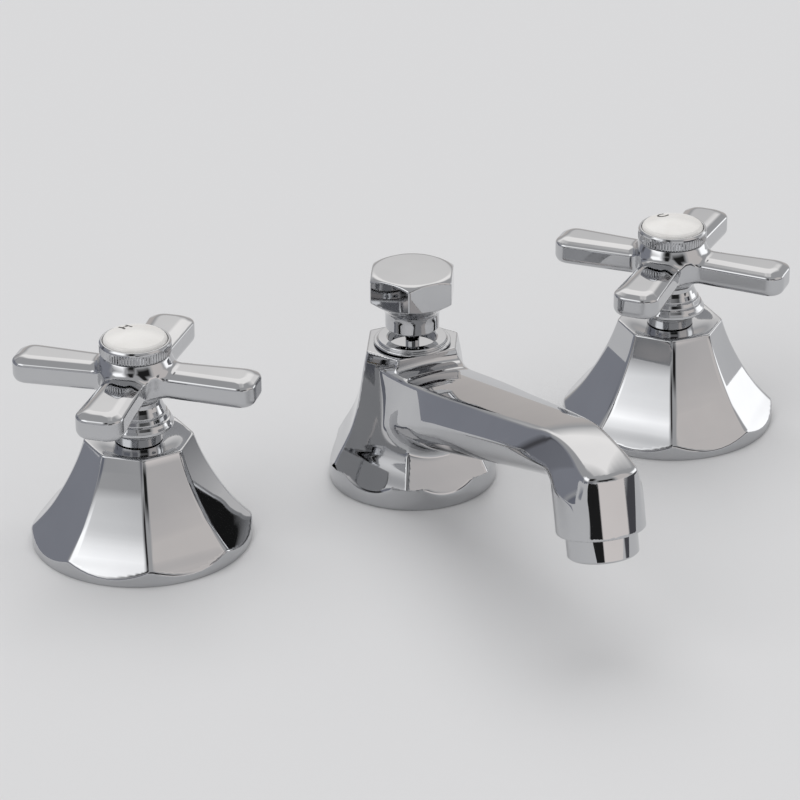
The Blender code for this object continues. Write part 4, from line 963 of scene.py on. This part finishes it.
def card_mesh(name, azimuth, elevation, distance, soft):
    """A piece of a sphere, with a fade of 0 at its edges. An edge on the floor doesn't fade."""
    columns = card_angles(azimuth, soft, CARD_COLUMNS)
    rows = card_angles(elevation, soft, CARD_ROWS)
    wide, last = len(columns), len(rows) - 1
    soft_rows = (last,) if elevation[0] == 0 else (0, last)
    points, fade = [], []
    for j, up in enumerate(rows):
        flat, z = distance * math.cos(up), distance * math.sin(up)
        for i, around in enumerate(columns):
            points.append((flat * math.sin(around), flat * math.cos(around), z))
            fade.append(0.0 if i in (0, wide - 1) or j in soft_rows else 1.0)
    faces = [
        (j * wide + i, j * wide + i + 1, (j + 1) * wide + i + 1, (j + 1) * wide + i)
        for j in range(last) for i in range(wide - 1)
    ]
    mesh = bpy.data.meshes.new(name)
    mesh.from_pydata(points, [], faces)
    mesh.attributes.new("fade", "FLOAT", "POINT").data.foreach_set("value", fade)
    return mesh


def make_card(name, azimuth, elevation, distance, shade, soft):
    """A curved card around the object. It is studio gear: only reflections show it."""
    card = new_object(name, card_mesh(name, azimuth, elevation, distance, soft))
    card.visible_camera = False
    card.visible_diffuse = False
    card.visible_shadow = False
    dress(card, card_material(name, shade))


# Assembly

# The valves stand this far from the middle, each turned a little, hot and cold opposite ways
VALVE_X = 101.6
VALVE_TURN = math.radians(3.75)


def add(piece, body, slot, finishes, node):
    """Dress a piece, let it ride on a body, and hide the CAD node that it stands for."""
    dress(piece, finishes[slot])
    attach(piece, body)
    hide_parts(node)


def build_valve(prefix, side, finishes, flare, cross):
    """The pieces of one valve: hot is on side -1 and cold on side 1."""
    handle = prefix + "_handle"
    turn = Matrix.Rotation(-side * VALVE_TURN, 4, "Z")
    place = Matrix.Translation((side * VALVE_X * MM, 0.0, 0.0)) @ turn
    escutcheon = to_object(prefix + "_flare", *flare, place)
    add(escutcheon, "root", CHROME, finishes, prefix + "_escutcheon")
    collar = lathe(prefix + "_collar", BONNET, 0.12, place=place)
    add(collar, "root", CHROME, finishes, prefix + "_bonnet")
    arms = to_object(prefix + "_cross", *cross, place)
    add(arms, handle, CHROME, finishes, prefix + "_cross_handle")
    skirt = lathe(prefix + "_skirt", SKIRT, 0.3, place=place)
    add(skirt, handle, CHROME, finishes, prefix + "_handle_skirt")
    ring = lathe(
        prefix + "_knurled_ring", CAP_RING, 0.22,
        columns=TEETH * TOOTH_COLUMNS, place=place, shape=knurl)
    add(ring, handle, CHROME, finishes, prefix + "_cap_ring")
    button = make_button(prefix + "_button", place)
    add(button, handle, "porcelain", finishes, prefix + "_index_button")
    text = "H" if side < 0 else "C"
    letter = make_letter(prefix + "_letter", text, place, LETTER_TURN + side * VALVE_TURN)
    dress(letter, ink())
    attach(letter, handle)


def build_spout(finishes):
    """The spout, the ring that guides the rod, the aerator's shell and the lift knob."""
    spout = to_object("spout", *field_mesh(spout_field, SPOUT_LOW, SPOUT_HIGH, SPOUT_STEP))
    add(spout, "root", CHROME, finishes, "spout_body")
    guide = lathe("rod_guide", GUIDE, 0.3)
    add(guide, "root", CHROME, finishes, "lift_rod_guide")
    rim = Matrix.Translation((0.0, -NOSE_F * MM, NOSE_Z * MM))
    tilt = rim @ Matrix.Rotation(-NOSE_TILT, 4, "X")
    aerator = lathe("aerator_shell", AERATOR, 0.3, place=tilt)
    add(aerator, "root", CHROME, finishes, "aerator_housing")
    knob = to_object("hex_knob", *field_mesh(knob_field, KNOB_LOW, KNOB_HIGH, KNOB_STEP))
    add(knob, "lift_rod", CHROME, finishes, "lift_knob")


def build():
    """Dress the CAD nodes, then make the pieces that replace the visible ones."""
    finishes = {slot: finish(slot) for slot in FINISHES}
    for row in frame["record"]["subparts"]:
        node = frame["nodes"].get(row["node"])
        if node is not None:
            dress(node, finishes[row["material_slot"]])
    flare = escutcheon_mesh()
    cross = field_mesh(handle_field, CROSS_LOW, CROSS_HIGH, CROSS_STEP)
    build_valve("hot", -1, finishes, flare, cross)
    build_valve("cold", 1, finishes, flare, cross)
    build_spout(finishes)


make_camera()
make_floor()
make_world()
for sun in SUNS:
    make_sun(*sun)
for card in CARDS:
    make_card(*card)
build()
bpy.context.scene.view_settings.view_transform = "Standard"
